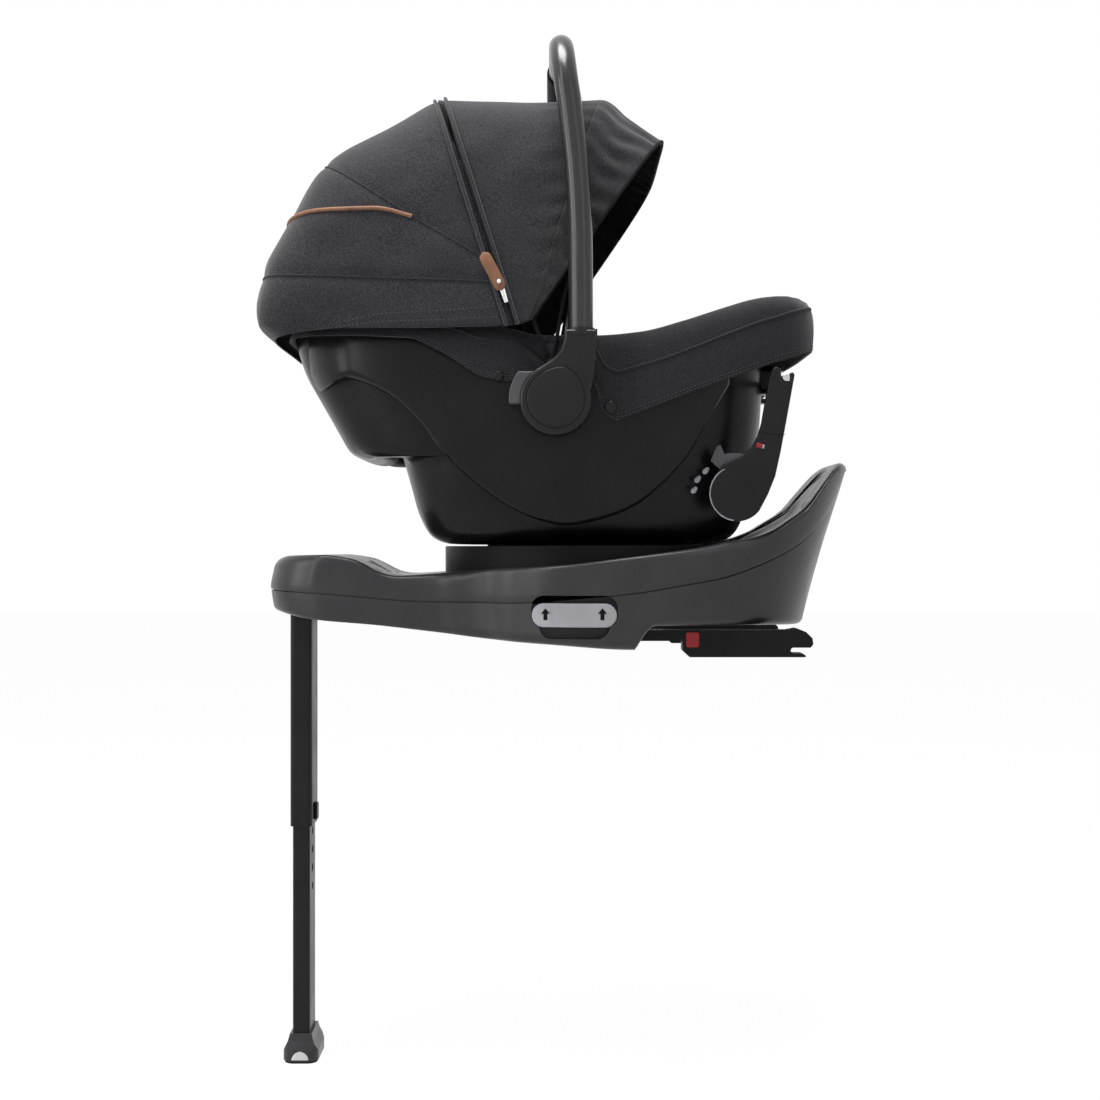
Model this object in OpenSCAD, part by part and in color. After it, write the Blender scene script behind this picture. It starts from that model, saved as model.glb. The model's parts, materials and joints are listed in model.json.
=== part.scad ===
// Rear-facing infant carrier on a swivelling base with a load leg.
// Frame: origin midway between the two anchor-bar jaws, +X towards the
// vehicle seat back, +Z up, the whole symmetric about Y = 0.

/* [Placement] */
// Height of the anchor bars above the vehicle floor
bar_height = 495; // [470:1:520]
// Distance from the swivel axis to the anchor bars
bar_reach = 218; // [208:1:228]

/* [Base] */
// Half-width of the round middle of the base
base_half_w = 188; // [186:1:194]
// Length of the front housing ahead of the swivel axis
base_front = 378; // [372:1:390]
// Half-width of the front housing
nose_half_w = 122; // [114:1:130]
// Reach of the rebound wall's crest behind the swivel axis
wall_reach = 288; // [284:1:296]
// Wall thickness of the base mouldings
base_wall = 4; // [3:0.5:5]
// Rise of a release plate when it is pulled
plate_travel = 8; // [5:1:10]

/* [Turntable] */
// Outer radius of the turntable
table_r = 177; // [170:1:178]
// Top of the turntable's rim above the floor
table_top = 611; // [609:0.5:612]
// Running clearance between turntable and base
table_gap = 0.6; // [0.4:0.1:1]

/* [Anchor arms] */
// Distance of each anchor arm from the middle
arm_y = 140; // [136:1:144]
// Thickness of an anchor arm
arm_t = 26; // [22:1:28]
// Height of an anchor arm
arm_h = 30; // [27:1:32]
// Radius of the slot end that holds the anchor bar
jaw_r = 3.1; // [3:0.05:3.3]
// Travel of an anchor arm into the base
arm_travel = 40; // [30:5:42]

/* [Load leg] */
// Distance of the leg's hinge ahead of the swivel axis
leg_x = 347; // [340:1:352]
// Height of the leg's hinge above the floor
leg_hinge_z = 545; // [543:1:547]
// Size of the upper tube fore and aft
leg_tube_x = 26; // [24:1:28]
// Size of the upper tube across
leg_tube_y = 55; // [50:1:58]
// Wall of the upper tube
leg_wall = 2.5; // [2:0.25:3]
// Height of the upper tube's lower end above the floor
leg_tube_end = 279; // [270:1:290]
// Length of the lower tube inside the upper one
leg_overlap = 130; // [120:5:140]
// Radius of the hinge pin
hinge_pin_r = 5; // [4:0.5:6]
// Height of the foot
foot_h = 26; // [24:1:30]

/* [Carrier] */
// Half-width of the inner bucket
bucket_half_w = 148; // [144:1:148.5]
// Outer half-width over the side wings
wing_half_w = 178; // [176:1:180]
// Thickness of a side wing
wing_t = 12; // [10:0.5:12]
// Wall of the bucket
shell_wall = 4; // [3:0.5:5]
// Height of the bucket's underside above the floor
bucket_bottom = 613; // [612.5:0.5:616]
// Radius of the latch bars under the bucket
latch_r = 5; // [4:0.5:6]
// Distance of each latch bar from the swivel axis
latch_x = 110; // [100:5:120]
// Radius of the recline hub
recline_r = 31; // [28:1:32]

/* [Handle] */
// Handle axis ahead of the swivel axis
handle_x = 46; // [42:1:50]
// Height of the handle axis above the floor
handle_z = 767; // [762:1:770]
// Distance from the handle axis to the middle of the crossbar
handle_reach = 394; // [390:1:398]
// Half-distance between the handle's legs
handle_leg_y = 214; // [213:1:218]
// Diameter of the handle tube
handle_d = 27; // [24:1:28]
// Radius of the round hubs
hub_r = 39; // [36:1:40]
// Radius of the hub bearing
hub_shaft_r = 12; // [10:0.5:14]
// Clearance of the turning fits
turn_gap = 0.2; // [0.15:0.05:0.3]

/* [Canopy] */
// Distance of the canopy pivot ahead of the swivel axis
canopy_x = 50; // [47:1:52]
// Height of the canopy pivot above the floor
canopy_z = 806; // [804:1:808]
// Half-width of the canopy at its hem
canopy_half_w = 196.5; // [196:0.5:197.5]
// Thickness of the canopy fabric
fabric_t = 2.4; // [2:0.2:3]

/* [Soft parts] */
// Thickness of the padded liner
liner_t = 12; // [10:1:14]
// Half-width over the cover
cover_half_w = 184; // [183:0.5:184.5]
// Width of the shoulder straps
strap_w = 38; // [34:1:40]
// Thickness of the straps
strap_t = 2; // [1.5:0.25:3]

/* [Hidden] */
$fn = 48;
soft_gap = 0.4;
fit = 0.3;
eps = 0.01;

// ---- shared shapes ------------------------------------------------------

// Heights are above a floor this far below the bars; the leg reaches the real floor
bar_z0 = 495;
floor_z = bar_z0 - bar_height;
module place() translate([-bar_reach, 0, -bar_z0]) children();
// Pieces are drawn on the right (-Y); s = 1 puts them on the left
module side(s) { if (s > 0) mirror([0, 1, 0]) children(); else children(); }
module both() { children(); mirror([0, 1, 0]) children(); }

function signed_pow(v, p) = sign(v) * pow(abs(v), p);

// Closed solid through a stack of rings, capped at both ends
module loft(rings) {
    n = len(rings[0]);
    m = len(rings);
    sides = [for (j = [0:m - 2], i = [0:n - 1])
        let (a = j * n + i, b = j * n + (i + 1) % n, c = b + n, d = a + n)
        each [[a, c, b], [a, d, c]]];
    polyhedron(points = [for (r = rings) each r],
        faces = concat([[for (i = [0:n - 1]) i]],
            sides, [[for (i = [n - 1:-1:0]) (m - 1) * n + i]]));
}

// Ring-shaped solid: the last ring joins the first
module ring_loft(rings) {
    n = len(rings[0]);
    m = len(rings);
    polyhedron(points = [for (r = rings) each r],
        faces = [for (j = [0:m - 1], i = [0:n - 1])
            let (a = j * n + i, b = j * n + (i + 1) % n,
                 c = ((j + 1) % m) * n + (i + 1) % n, d = ((j + 1) % m) * n + i)
            each [[a, c, b], [a, d, c]]]);
}

// Thin sheet: each ring runs out along one face and back along the other
module sheet_loft(rings) {
    n = len(rings[0]);
    m = len(rings);
    last = (m - 1) * n;
    polyhedron(points = [for (r = rings) each r],
        faces = concat(
            [for (j = [0:m - 2], i = [0:n - 1])
                let (a = j * n + i, b = j * n + (i + 1) % n, c = b + n, d = a + n)
                each [[a, c, b], [a, d, c]]],
            [for (i = [0:n / 2 - 2]) each [[i, i + 1, n - 2 - i], [i, n - 2 - i, n - 1 - i]]],
            [for (i = [0:n / 2 - 2]) each [[last + i, last + n - 2 - i, last + i + 1],
                [last + i, last + n - 1 - i, last + n - 2 - i]]]));
}

// Merged surface of lofts, so that bores cut afterwards stay true
module moulded() resize([0, 0, 0]) children();

// Shape drawn in X and Z, extruded across from y0 to y1 (both positive, right side)
module slab(y0, y1) translate([0, -y0, 0]) rotate([90, 0, 0]) linear_extrude(y1 - y0) children();
// Cylinder across the car at x, z
module cross_pin(x, z, r, y0, y1)
    translate([x, -y0, z]) rotate([90, 0, 0]) cylinder(r = r, h = y1 - y0);

module rounded_rect(w, h, r) {
    translate([-w / 2 + r, -h / 2]) square([w - 2 * r, h]);
    translate([-w / 2, -h / 2 + r]) square([w, h - 2 * r]);
    for (x = [-1, 1], y = [-1, 1])
        translate([x * (w / 2 - r), y * (h / 2 - r)]) circle(r = r);
}

// Bar with round ends between two points
module stadium(a, b, r) {
    d = b - a;
    translate(a) circle(r = r);
    translate(b) circle(r = r);
    translate(a) rotate(atan2(d[1], d[0])) translate([0, -r]) square([norm(d), 2 * r]);
}

// ---- base ---------------------------------------------------------------

nose_corner = 75;
// Fullness of the rounded back in plan
back_round = 0.87;
// Reach of the back of the base at each height, as a share of the crest
back_lean = [[480, 0.81], [518, 0.855], [562, 0.895], [617, 0.95], [666, 1.005], [703, 1.043], [720, 1.05]];
front_lean = [[480, 0.97], [528, 0.985], [562, 1], [602, 0.982], [720, 0.98]];

function base_half(grow) = [
    for (t = [0:7.5:90]) [(wall_reach + grow) * pow(cos(t), back_round), (base_half_w + grow) * pow(sin(t), back_round)],
    for (t = [105, 120, 132]) (base_half_w + grow) * [cos(t), sin(t)],
    [-163 - grow, nose_half_w + 7 + grow], [-200, nose_half_w + grow],
    for (t = [0:22.5:90]) [-(base_front - nose_corner) - (nose_corner + grow) * sin(t),
        nose_half_w - nose_corner + (nose_corner + grow) * cos(t)]];
function closed_outline(half) = concat(half, [for (i = [len(half) - 1:-1:1]) [half[i][0], -half[i][1]]]);
function base_ring(z, grow) = [for (p = closed_outline(base_half(grow)))
    [p[0] * lookup(z, p[0] > 0 ? back_lean : front_lean), p[1], z]];

module base_mass(grow = 0)
    loft([for (z = [480, 518, 562, 590, 617, 666, 703, 720]) base_ring(z, grow)]);

// Side view: underside, seam between the shells, and crest
keel = [[-400, 540], [-374, 536], [-330, 528], [-250, 521], [-190, 514], [-120, 506], [-50, 502],
    [42, 497], [50, 510], [66, 523], [160, 523], [310, 516]];
seam = [[-400, 563], [-300, 557], [-190, 549], [-100, 548.5], [-41, 552], [40, 559.5], [92, 568],
    [138, 576], [176, 588], [225, 610], [251, 629], [274, 657], [290, 690], [320, 760]];
crest = [[-400, 585], [-376, 592], [-366, 600], [-310, 601], [-278, 597], [-262, 591], [-246, 582],
    [-226, 577.5], [-180, 580], [-120, 585], [-52, 589], [45, 600], [123, 611], [150, 617],
    [174, 620.5], [198, 629], [216, 640], [239, 656], [252, 672], [264, 687], [276, 704], [285, 711], [297, 711], [320, 700]];
module below(line) polygon(concat(line, [[320, 400], [-400, 400]]));
module above(line) polygon(concat(line, [[320, 800], [-400, 800]]));
module across() translate([0, 250, 0]) rotate([90, 0, 0]) linear_extrude(500) children();

pocket_r = table_r + table_gap;
pocket_floor = 575;
// Inner radius of the bowl that the carrier turns in, at each height
bowl = [[590, table_r + 1], [600, 183], [612, 200], [622, 212], [636, 231], [650, 243.5], [662, 249.5],
    [681, 262], [712, 283], [740, 291]];
module bowl_cut() rotate_extrude($fn = 120)
    polygon(concat([[0, 590]], [for (b = bowl) [b[1], b[0]]], [[0, 740]]));

module table_pocket() translate([0, 0, pocket_floor]) cylinder(r = pocket_r, h = 200);

channel_half = 40;
channel_end = 6;
module leg_channel(grow = 0)
    translate([-leg_x - 15 - grow, -channel_half - grow, 440])
        cube([leg_x + 15 + channel_end + 2 * grow, 2 * (channel_half + grow), 200]);
hinge_seat_y = 33;

arm_top = bar_z0 + 22.5;
arm_bottom = arm_top - arm_h;
rail_h = 12;
rail_x0 = -40;
arm_step_x = 95;
tunnel_gap = fit;
module arm_tunnel(grow = 0)
    both() translate([rail_x0 - arm_travel - 1 - grow, -arm_y - arm_t / 2 - tunnel_gap - grow,
        arm_top - rail_h - tunnel_gap - grow])
        cube([150 + grow, arm_t + 2 * (tunnel_gap + grow), rail_h + 2 * (tunnel_gap + grow)]);

plate_x0 = -72;
plate_x1 = 21;
plate_z = 535;
plate_h = 26;
plate_y0 = base_half_w - 24;
module plate_outline(grow) stadium([plate_x0 + plate_h / 2, plate_z], [plate_x1 - plate_h / 2, plate_z],
    plate_h / 2 + grow);
// Space a plate moves in, with the finger recess below it
module plate_recess() intersection() {
    slab(plate_y0, base_half_w + 20) union() {
        plate_outline(fit);
        translate([0, plate_travel]) plate_outline(fit);
        translate([plate_x0 - fit, plate_z]) square([plate_x1 - plate_x0 + 2 * fit, plate_travel]);
        stadium([plate_x0 + 22, plate_z - 12], [plate_x1 - 22, plate_z - 12], 14);
    }
    difference() {
        cylinder(r = base_half_w + 30, h = 700, $fn = 200);
        cylinder(r = base_half_w - 8, h = 700, $fn = 200);
    }
}

module base_lower_shell() color("#1b1c1e") place() {
    difference() {
        moulded() difference() {
            intersection() {
                base_mass();
                across() intersection() { above(keel); below(seam); }
            }
            difference() {
                intersection() {
                    base_mass(-base_wall);
                    across() translate([0, base_wall]) above(keel);
                }
                leg_channel(base_wall);
                arm_tunnel(base_wall);
                // pin lugs
                for (s = [-1, 1]) translate([-leg_x - 20, s > 0 ? hinge_seat_y : -hinge_seat_y - 16, 500])
                    cube([40, 16, 100]);
                // backing of the release plates
                difference() { cylinder(r = base_half_w + 20, h = 700); cylinder(r = base_half_w - 13, h = 700); }
            }
        }
        difference() {
            leg_channel();
            both() translate([-leg_x - 20, -channel_half - 1, 500])
                cube([40, channel_half + 1 - hinge_seat_y, 100]);
        }
        arm_tunnel();
        cross_pin(-leg_x, leg_hinge_z, hinge_pin_r + 0.1, -44, 44);
        both() plate_recess();
        base_screw_places() cylinder(r = base_screw_r, h = base_wall + 2);
        table_pocket();
    }
}

module base_upper_shell() color("#202124") place() {
    difference() {
        moulded() intersection() {
            base_mass();
            across() intersection() { above(seam); below(crest); }
        }
        bowl_cut();
        table_pocket();
        both() plate_recess();
        // hollow under the turntable floor and in the front housing
        translate([0, 0, 500]) difference() {
            cylinder(r = 150, h = pocket_floor - 5 - 500);
            cylinder(r = 36, h = 100);
        }
        translate([-355, -95, 500]) cube([110, 190, 85]);
        // seat of the swivel button
        translate([button_x, 0, button_z]) rotate([0, button_tilt, 0])
            translate([-18, -26, -14]) cube([36, 52, 30]);
    }
    // spigot the turntable turns on
    translate([0, 0, pocket_floor - eps]) cylinder(r = spigot_r, h = 12);
}
spigot_r = 30;

// Button on the slope behind the front housing
button_x = -252;
button_z = 585;
button_tilt = 30;
button_travel = 4;
module swivel_button() color("#9a9c9f") place()
    translate([button_x, 0, button_z]) rotate([0, button_tilt, 0])
        translate([0, 0, -8]) linear_extrude(10) rounded_rect(36 - 2 * fit, 52 - 2 * fit, 6);

module bearing_ring() color("#b9bbbd") place()
    translate([0, 0, pocket_floor]) difference() {
        cylinder(r = 146, h = 2.7);
        translate([0, 0, -1]) cylinder(r = 128, h = 5);
    }

module leg_hinge_pin() color("#8d8f92") place()
    cross_pin(-leg_x, leg_hinge_z, hinge_pin_r, -44, 44);

module release_plate(s) color("#b7b9bb") place() side(s) intersection() {
    slab(plate_y0, base_half_w + 20) plate_outline(0);
    difference() {
        cylinder(r = base_half_w - 0.5, h = 700, $fn = 200);
        cylinder(r = base_half_w - 8 + fit, h = 700, $fn = 200);
    }
}

base_screw_r = 4;
module base_screw_places() for (x = [-230, -120], s = [-1, 1])
    translate([x, s * 92, lookup(x, keel) - 0.5]) children();
module base_screws() color("#77797c") place() base_screw_places() cylinder(r = base_screw_r, h = base_wall);

// ---- anchor arms --------------------------------------------------------

pawl_x = bar_reach + 12;
pawl_z = bar_z0 + 12;
arm_nose = [[arm_step_x, arm_top], [212, arm_top], [222, arm_top + 2], [232, arm_top - 2], [239, arm_top - 9],
    [240, bar_z0 + 7], [237, bar_z0 + jaw_r], [bar_reach, bar_z0 + jaw_r],
    [bar_reach, bar_z0 - jaw_r], [228, bar_z0 - jaw_r], [232, bar_z0 - 6],
    [231, arm_bottom], [arm_step_x + 8, arm_bottom], [arm_step_x, bar_z0]];
button_y = arm_t / 2 - 6;
module anchor_arm(s) color("#191a1c") place() side(s) difference() {
    union() {
        slab(arm_y - arm_t / 2, arm_y + arm_t / 2) polygon(arm_nose);
        translate([rail_x0, -arm_y - arm_t / 2, arm_top - rail_h]) cube([arm_step_x - rail_x0 + 1, arm_t, rail_h]);
    }
    cross_pin(bar_reach, bar_z0, jaw_r, arm_y - arm_t, arm_y + arm_t);
    // pocket for the pawl, and the pawl's pin
    slab(arm_y - 4.3, arm_y + 4.3) polygon([[bar_reach - 3, bar_z0 + 4.5], [bar_reach - 0.2, bar_z0 + 4.5],
        [bar_reach - 0.2, bar_z0], [bar_reach + 18, bar_z0], [bar_reach + 18, pawl_z + 7],
        [bar_reach - 3, pawl_z + 5]]);
    // pocket for the release button
    slab(arm_y + button_y - 3.5, arm_y + 40) translate([106, bar_z0 + 12]) rounded_rect(15 + 2 * fit, 17 + 2 * fit, 3);
}
module anchor_button(s) color("#8f2f2c") place() side(s)
    slab(arm_y + button_y, arm_y + arm_t / 2 + 1) translate([106, bar_z0 + 12]) rounded_rect(15, 17, 2.7);
module anchor_pawl(s) color("#9b9da0") place() side(s) difference() {
    slab(arm_y - 4, arm_y + 4) union() {
        stadium([pawl_x, pawl_z], [pawl_x - 11, pawl_z - 2], 2.6);
        translate([pawl_x, pawl_z]) circle(r = 4.5);
    }
}

// ---- load leg -----------------------------------------------------------

leg_in_x = leg_tube_x - 2 * leg_wall;
leg_in_y = leg_tube_y - 2 * leg_wall;
knuckle_z = leg_hinge_z - 20;
leg_button_z = 294;
module leg_upper_tube() color("#1d1e20") place() translate([-leg_x, 0, 0]) difference() {
    union() {
        translate([0, 0, leg_tube_end]) linear_extrude(leg_hinge_z - leg_tube_end)
            rounded_rect(leg_tube_x, leg_tube_y, 6);
        cross_pin(0, leg_hinge_z, leg_tube_x / 2, -leg_tube_y / 2, leg_tube_y / 2);
    }
    translate([0, 0, leg_tube_end - 1]) linear_extrude(knuckle_z - leg_tube_end)
        rounded_rect(leg_in_x, leg_in_y, 4);
    cross_pin(0, leg_hinge_z, hinge_pin_r + 0.1, -60, 60);
    // hole for the height button in the rear wall
    translate([5, 0, leg_button_z]) rotate([0, 90, 0]) linear_extrude(30)
        rounded_rect(20 + 2 * fit, 16 + 2 * fit, 4);
}
leg_button_travel = 2.5;
module leg_button() color("#2a2b2d") place()
    translate([-leg_x + leg_in_x / 2 + leg_button_travel - 0.1, 0, leg_button_z])
        rotate([0, 90, 0]) linear_extrude(3.8) rounded_rect(20, 16, 3.7);
module leg_lower_tube() color("#232427") place() translate([-leg_x, 0, 0]) difference() {
    translate([0, 0, floor_z + 8]) linear_extrude(leg_tube_end + leg_overlap - floor_z - 8)
        rounded_rect(leg_in_x - 2 * fit, leg_in_y - 2 * fit, 3.7);
    translate([0, 0, floor_z + 12]) linear_extrude(500) rounded_rect(leg_in_x - 5, leg_in_y - 5, 2);
    // room for the height button's travel at each stop
    for (k = [0:8]) translate([leg_in_x / 2 - 4, 0, leg_button_z - 90 + k * 22])
        rotate([0, 90, 0]) cylinder(r = 5, h = 10);
}
sole_t = 3;
foot_x = 42;
foot_y = 70;
module leg_foot() color("#1f2022") place() translate([-leg_x, 0, floor_z]) difference() {
    intersection() {
        translate([0, 0, sole_t]) linear_extrude(foot_h - sole_t + 8) rounded_rect(foot_x, foot_y, 13);
        translate([0, 60, 0]) rotate([90, 0, 0]) linear_extrude(120)
            polygon([[-21, 0], [21, 0], [21, 14], [15, foot_h], [13, foot_h + 8], [-13, foot_h + 8], [-15, foot_h], [-21, 14]]);
        translate([-60, 0, 0]) rotate([90, 0, 90]) linear_extrude(120)
            polygon([[-35, 0], [35, 0], [35, 14], [29, foot_h], [27.2, foot_h + 8], [-27.2, foot_h + 8], [-29, foot_h], [-35, 14]]);
    }
    translate([0, 0, 8]) linear_extrude(60) rounded_rect(leg_in_x - 2 * fit + 0.1, leg_in_y - 2 * fit + 0.1, 3.7);
    both() window_cut(0.1);
}
module window_cut(grow) intersection() {
    translate([0, -foot_y / 2 + 1.5, 4.5]) rotate([90, 0, 0]) linear_extrude(3)
        intersection() {
            circle(r = 10 + grow);
            translate([-20, -grow]) square([40, 40]);
        }
    translate([-30, -foot_y / 2, 0]) cube([60, foot_y, 60]);
}
module foot_window() color("#d9dbdc") place() translate([-leg_x, 0, floor_z]) both()
    translate([0, -foot_y / 2 + 1.5, 4.5]) rotate([90, 0, 0]) linear_extrude(1.5) intersection() {
        circle(r = 10);
        translate([-20, 0]) square([40, 40]);
    }
module foot_sole() color("#101011") place() translate([-leg_x, 0, floor_z])
    linear_extrude(sole_t) rounded_rect(foot_x - 3, foot_y - 3, 11.5);

// ---- turntable ----------------------------------------------------------

table_bottom = pocket_floor + 3;
dock_floor = 598;
bar_z = dock_floor + 6;
hook_half = 26;
hook_travel = 12;
module turntable() color("#17181a") place() difference() {
    translate([0, 0, table_bottom]) cylinder(r = table_r, h = table_top - table_bottom);
    translate([0, 0, dock_floor]) cylinder(r = table_r - 9, h = 50);
    translate([0, 0, table_bottom - 1]) cylinder(r = spigot_r + table_gap / 2, h = 14);
    translate([0, 0, table_bottom - 1]) difference() {
        cylinder(r = 124, h = 15);
        cylinder(r = 40, h = 30);
    }
    // slots the hooks slide in
    for (x = [-latch_x, latch_x]) translate([x - 7, -hook_half - fit, dock_floor - 3 - fit])
        cube([24 + hook_travel, 2 * (hook_half + fit), 20]);
}
module table_hooks() color("#a3a5a8") place() for (x = [-latch_x, latch_x]) difference() {
    translate([x - 6, -hook_half, dock_floor - 3]) cube([22, 2 * hook_half, bar_z + latch_r + 3.3 - dock_floor + 3]);
    translate([x, 0, bar_z]) {
        rotate([90, 0, 0]) cylinder(r = latch_r + fit, h = 100, center = true);
        translate([-30, -50, -latch_r - fit]) cube([30, 100, 2 * (latch_r + fit)]);
    }
}

// ---- carrier shell ------------------------------------------------------

head_reach = 350;
foot_reach = 200;
middle_x = -60;
// Height of the rim along the carrier
rim_line = [[-head_reach, 850], [-250, 836], [-200, 821], [-165, 811.5], [-130, 804.5], [-90, 799], [-50, 796.5],
    [0, 797], [40, 802.5], [80, 812], [150, 828], [foot_reach, 842]];
// Reach towards the head, towards the feet, and half-width, at each height
rear_line = [[613, 178], [618, 192], [626, 198], [658, 216], [706, 228], [714, 262], [722, 288], [807, 336], [850, head_reach]];
front_line = [[613, 146], [620, 160], [640, 172], [700, 186], [760, 194], [842, foot_reach]];
width_line = [[613, 0.8], [626, 0.92], [660, 0.97], [700, 1], [850, 1]];

// Angles of one quarter of a ring, closer together at its corner
function quarter(n) = [for (i = [0:n - 1]) 90 * i / n + 7 * sin(360 * i / n)];
// Whole ring from the quarters at the foot and at the head
function around(foot, head) = concat(foot, [90], [for (i = [len(head) - 1:-1:1]) 180 - head[i]], [180],
    [for (i = [1:len(head) - 1]) 180 + head[i]], [270], [for (i = [len(foot) - 1:-1:1]) 360 - foot[i]]);
ring_angles = around(quarter(12), quarter(12));
// Point of an oblong ring with full corners
function oblong(a, rear, front, half) = let (k = pow(pow(cos(a), 4) + pow(sin(a), 4), -0.25), c = k * cos(a))
    [middle_x + c * (c > 0 ? front - middle_x : rear + middle_x), half * k * sin(a)];
function rim_at(x) = lookup(x, rim_line);
// Ring of the bucket: t runs from the floor (0) to the rim (1)
function bucket_ring(t, floor_z, inset = 0, flare = 0, drop = 0) = [for (a = ring_angles)
    let (top = oblong(a, head_reach, foot_reach, bucket_half_w),
         z = floor_z + (rim_at(top[0]) - drop - floor_z) * t,
         p = oblong(a, lookup(z, rear_line) - inset, lookup(z, front_line) - inset,
             bucket_half_w * lookup(z, width_line) - inset + flare))
    [p[0], p[1], z]];

flange_y = wing_half_w - wing_t;
flange_t = 6;
dock_rib_y = 75;
latch_half = 86;
module carrier_shell() color("#1c1d1f") place() {
    difference() {
        union() {
            moulded() difference() {
                loft(concat(
                    [for (t = [0, 0.02, 0.06, 0.2, 0.4, 0.46, 0.52, 0.75]) bucket_ring(t, bucket_bottom)],
                    [bucket_ring(1, bucket_bottom, drop = flange_t),
                     bucket_ring(1, bucket_bottom, flare = flange_y - bucket_half_w - fit, drop = flange_t - 1),
                     bucket_ring(1, bucket_bottom, flare = flange_y - bucket_half_w - fit)],
                    [for (t = [1, 0.75, 0.5, 0.42, 0.2, 0.05, 0]) bucket_ring(t, bucket_bottom + shell_wall, inset = shell_wall)]));
                // finger groove behind the rear lip
                translate([-237, 0, 714]) rotate([90, 0, 0]) cylinder(r = 9, h = 2 * grip_half, center = true, $fn = 24);
            }
            // ribs that stand in the turntable
            both() translate([-latch_x - 14, -dock_rib_y - 5, dock_floor + 0.4]) cube([2 * latch_x + 28, 10, bucket_bottom - dock_floor + 1]);
            // bosses that carry the recline hubs
            both() cross_pin(recline_x, recline_z, 24, 96, arm_in_y - fit);
            // guides of the recline bar
            for (y = [-70, 52]) translate([foot_reach - 9.5, y, guide_z0]) cube([notch_x + 11 - foot_reach + 9.5, 18, 36]);
        }
        for (x = [-latch_x, latch_x]) cross_pin(x, bar_z, latch_r + 0.05, -latch_half, latch_half);
        both() cross_pin(recline_x, recline_z, recline_shaft_r + turn_gap, 92, 200);
        cross_pin(-handle_x, handle_z, hub_boss_r + turn_gap, -400, 400);
        // slots the recline bar slides in
        for (y = [-71, 51]) translate([notch_x - notch_r - fit, y, notch_z - notch_r - fit])
            cube([2 * (notch_r + fit), 20, 2 * (notch_r + fit) + bar_lift]);
    }
}
grip_half = 105;

module latch_bars() color("#c3c5c7") place()
    for (x = [-latch_x, latch_x]) cross_pin(x, bar_z, latch_r, -latch_half + 2, latch_half - 2);

// Raised side wings, with a smile-shaped lower edge
wing_outline = [[-336, 838], [-330, 812], [-322, 780], [-307, 786], [-287, 796], [-268, 797], [-229, 778],
    [-196, 748], [-175, 720], [-143, 687], [-99, 655], [-56, 637], [-18, 635], [43, 656], [94, 703],
    [121, 747], [146, 790], [140, 800], [80, 792], [20, 770], [0, 778], [-100, 786], [-150, 800], [-260, 834]];
function wing_ring(z, grow, front) = [for (a = ring_angles)
    let (p = oblong(a, lookup(z, rear_line) + 4 + grow, front, wing_half_w + grow)) [p[0], p[1], z]];
wing_tuck = [[620, -5], [690, -1.5], [740, 0], [850, 0]];
// Space that the bucket and its rim flange fill, with the fit round it
module bucket_envelope() {
    loft(concat(
        [for (t = [-0.01, 0, 0.02, 0.06, 0.2, 0.4, 0.46, 0.52, 0.75]) bucket_ring(t, bucket_bottom, inset = -fit)],
        [for (drop = [flange_t, 0, -8]) bucket_ring(1, bucket_bottom, inset = -fit, drop = drop)]));
    loft([for (drop = [flange_t + fit, 0, -8]) bucket_ring(1, bucket_bottom, inset = -fit,
        flare = flange_y - bucket_half_w - fit, drop = drop)]);
}
module side_wing(s) color("#222326") place() side(s) moulded() difference() {
    intersection() {
        difference() {
            loft([for (z = [620, 690, 722, 760, 850]) wing_ring(z, lookup(z, wing_tuck), 262)]);
            loft([for (z = [600, 690, 722, 760, 870]) wing_ring(z, -wing_t, 298)]);
        }
        slab(70, 250) polygon(wing_outline);
    }
    bucket_envelope();
    cross_pin(-handle_x, handle_z, hub_boss_r + turn_gap, 0, 400);
}

module shell_screws() color("#77797c") place() both() for (p = [[-150, 760], [20, 700]])
    cross_pin(p[0], p[1], 3, flange_y - 18 - fit, flange_y - 1);

// Bearing plate of the handle, with the post of the canopy bows
mount_y0 = wing_half_w + fit;
mount_y1 = handle_leg_y - handle_d / 2 - 2;
bow_pin_r = 4;
hub_boss_r = 13.8;
bow_t = 2.5;
bow_step = bow_t + 0.6;
bow_y = [for (k = [0:2]) cover_half_w + 0.7 + k * bow_step];
module hub_mount(s) color("#18191b") place() side(s) {
    slab(mount_y0, mount_y1 - 14) union() {
        translate([-handle_x, handle_z]) circle(r = hub_r - 3);
        stadium([-canopy_x, canopy_z], [-handle_x, handle_z], 12);
    }
    slab(mount_y1 - 14 - eps, mount_y1) translate([-handle_x, handle_z]) circle(r = hub_r - 9);
    cross_pin(-handle_x, handle_z, hub_shaft_r, mount_y1 - eps, handle_leg_y + 8);
    cross_pin(-handle_x, handle_z, hub_boss_r, bucket_half_w - shell_wall + soft_gap, mount_y0 + eps);
    cross_pin(-canopy_x, canopy_z, bow_pin_r, mount_y1 - 14 - eps, bow_y[2] + bow_t + 2);
}

// ---- recline mechanism at the foot end ----------------------------------

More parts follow.
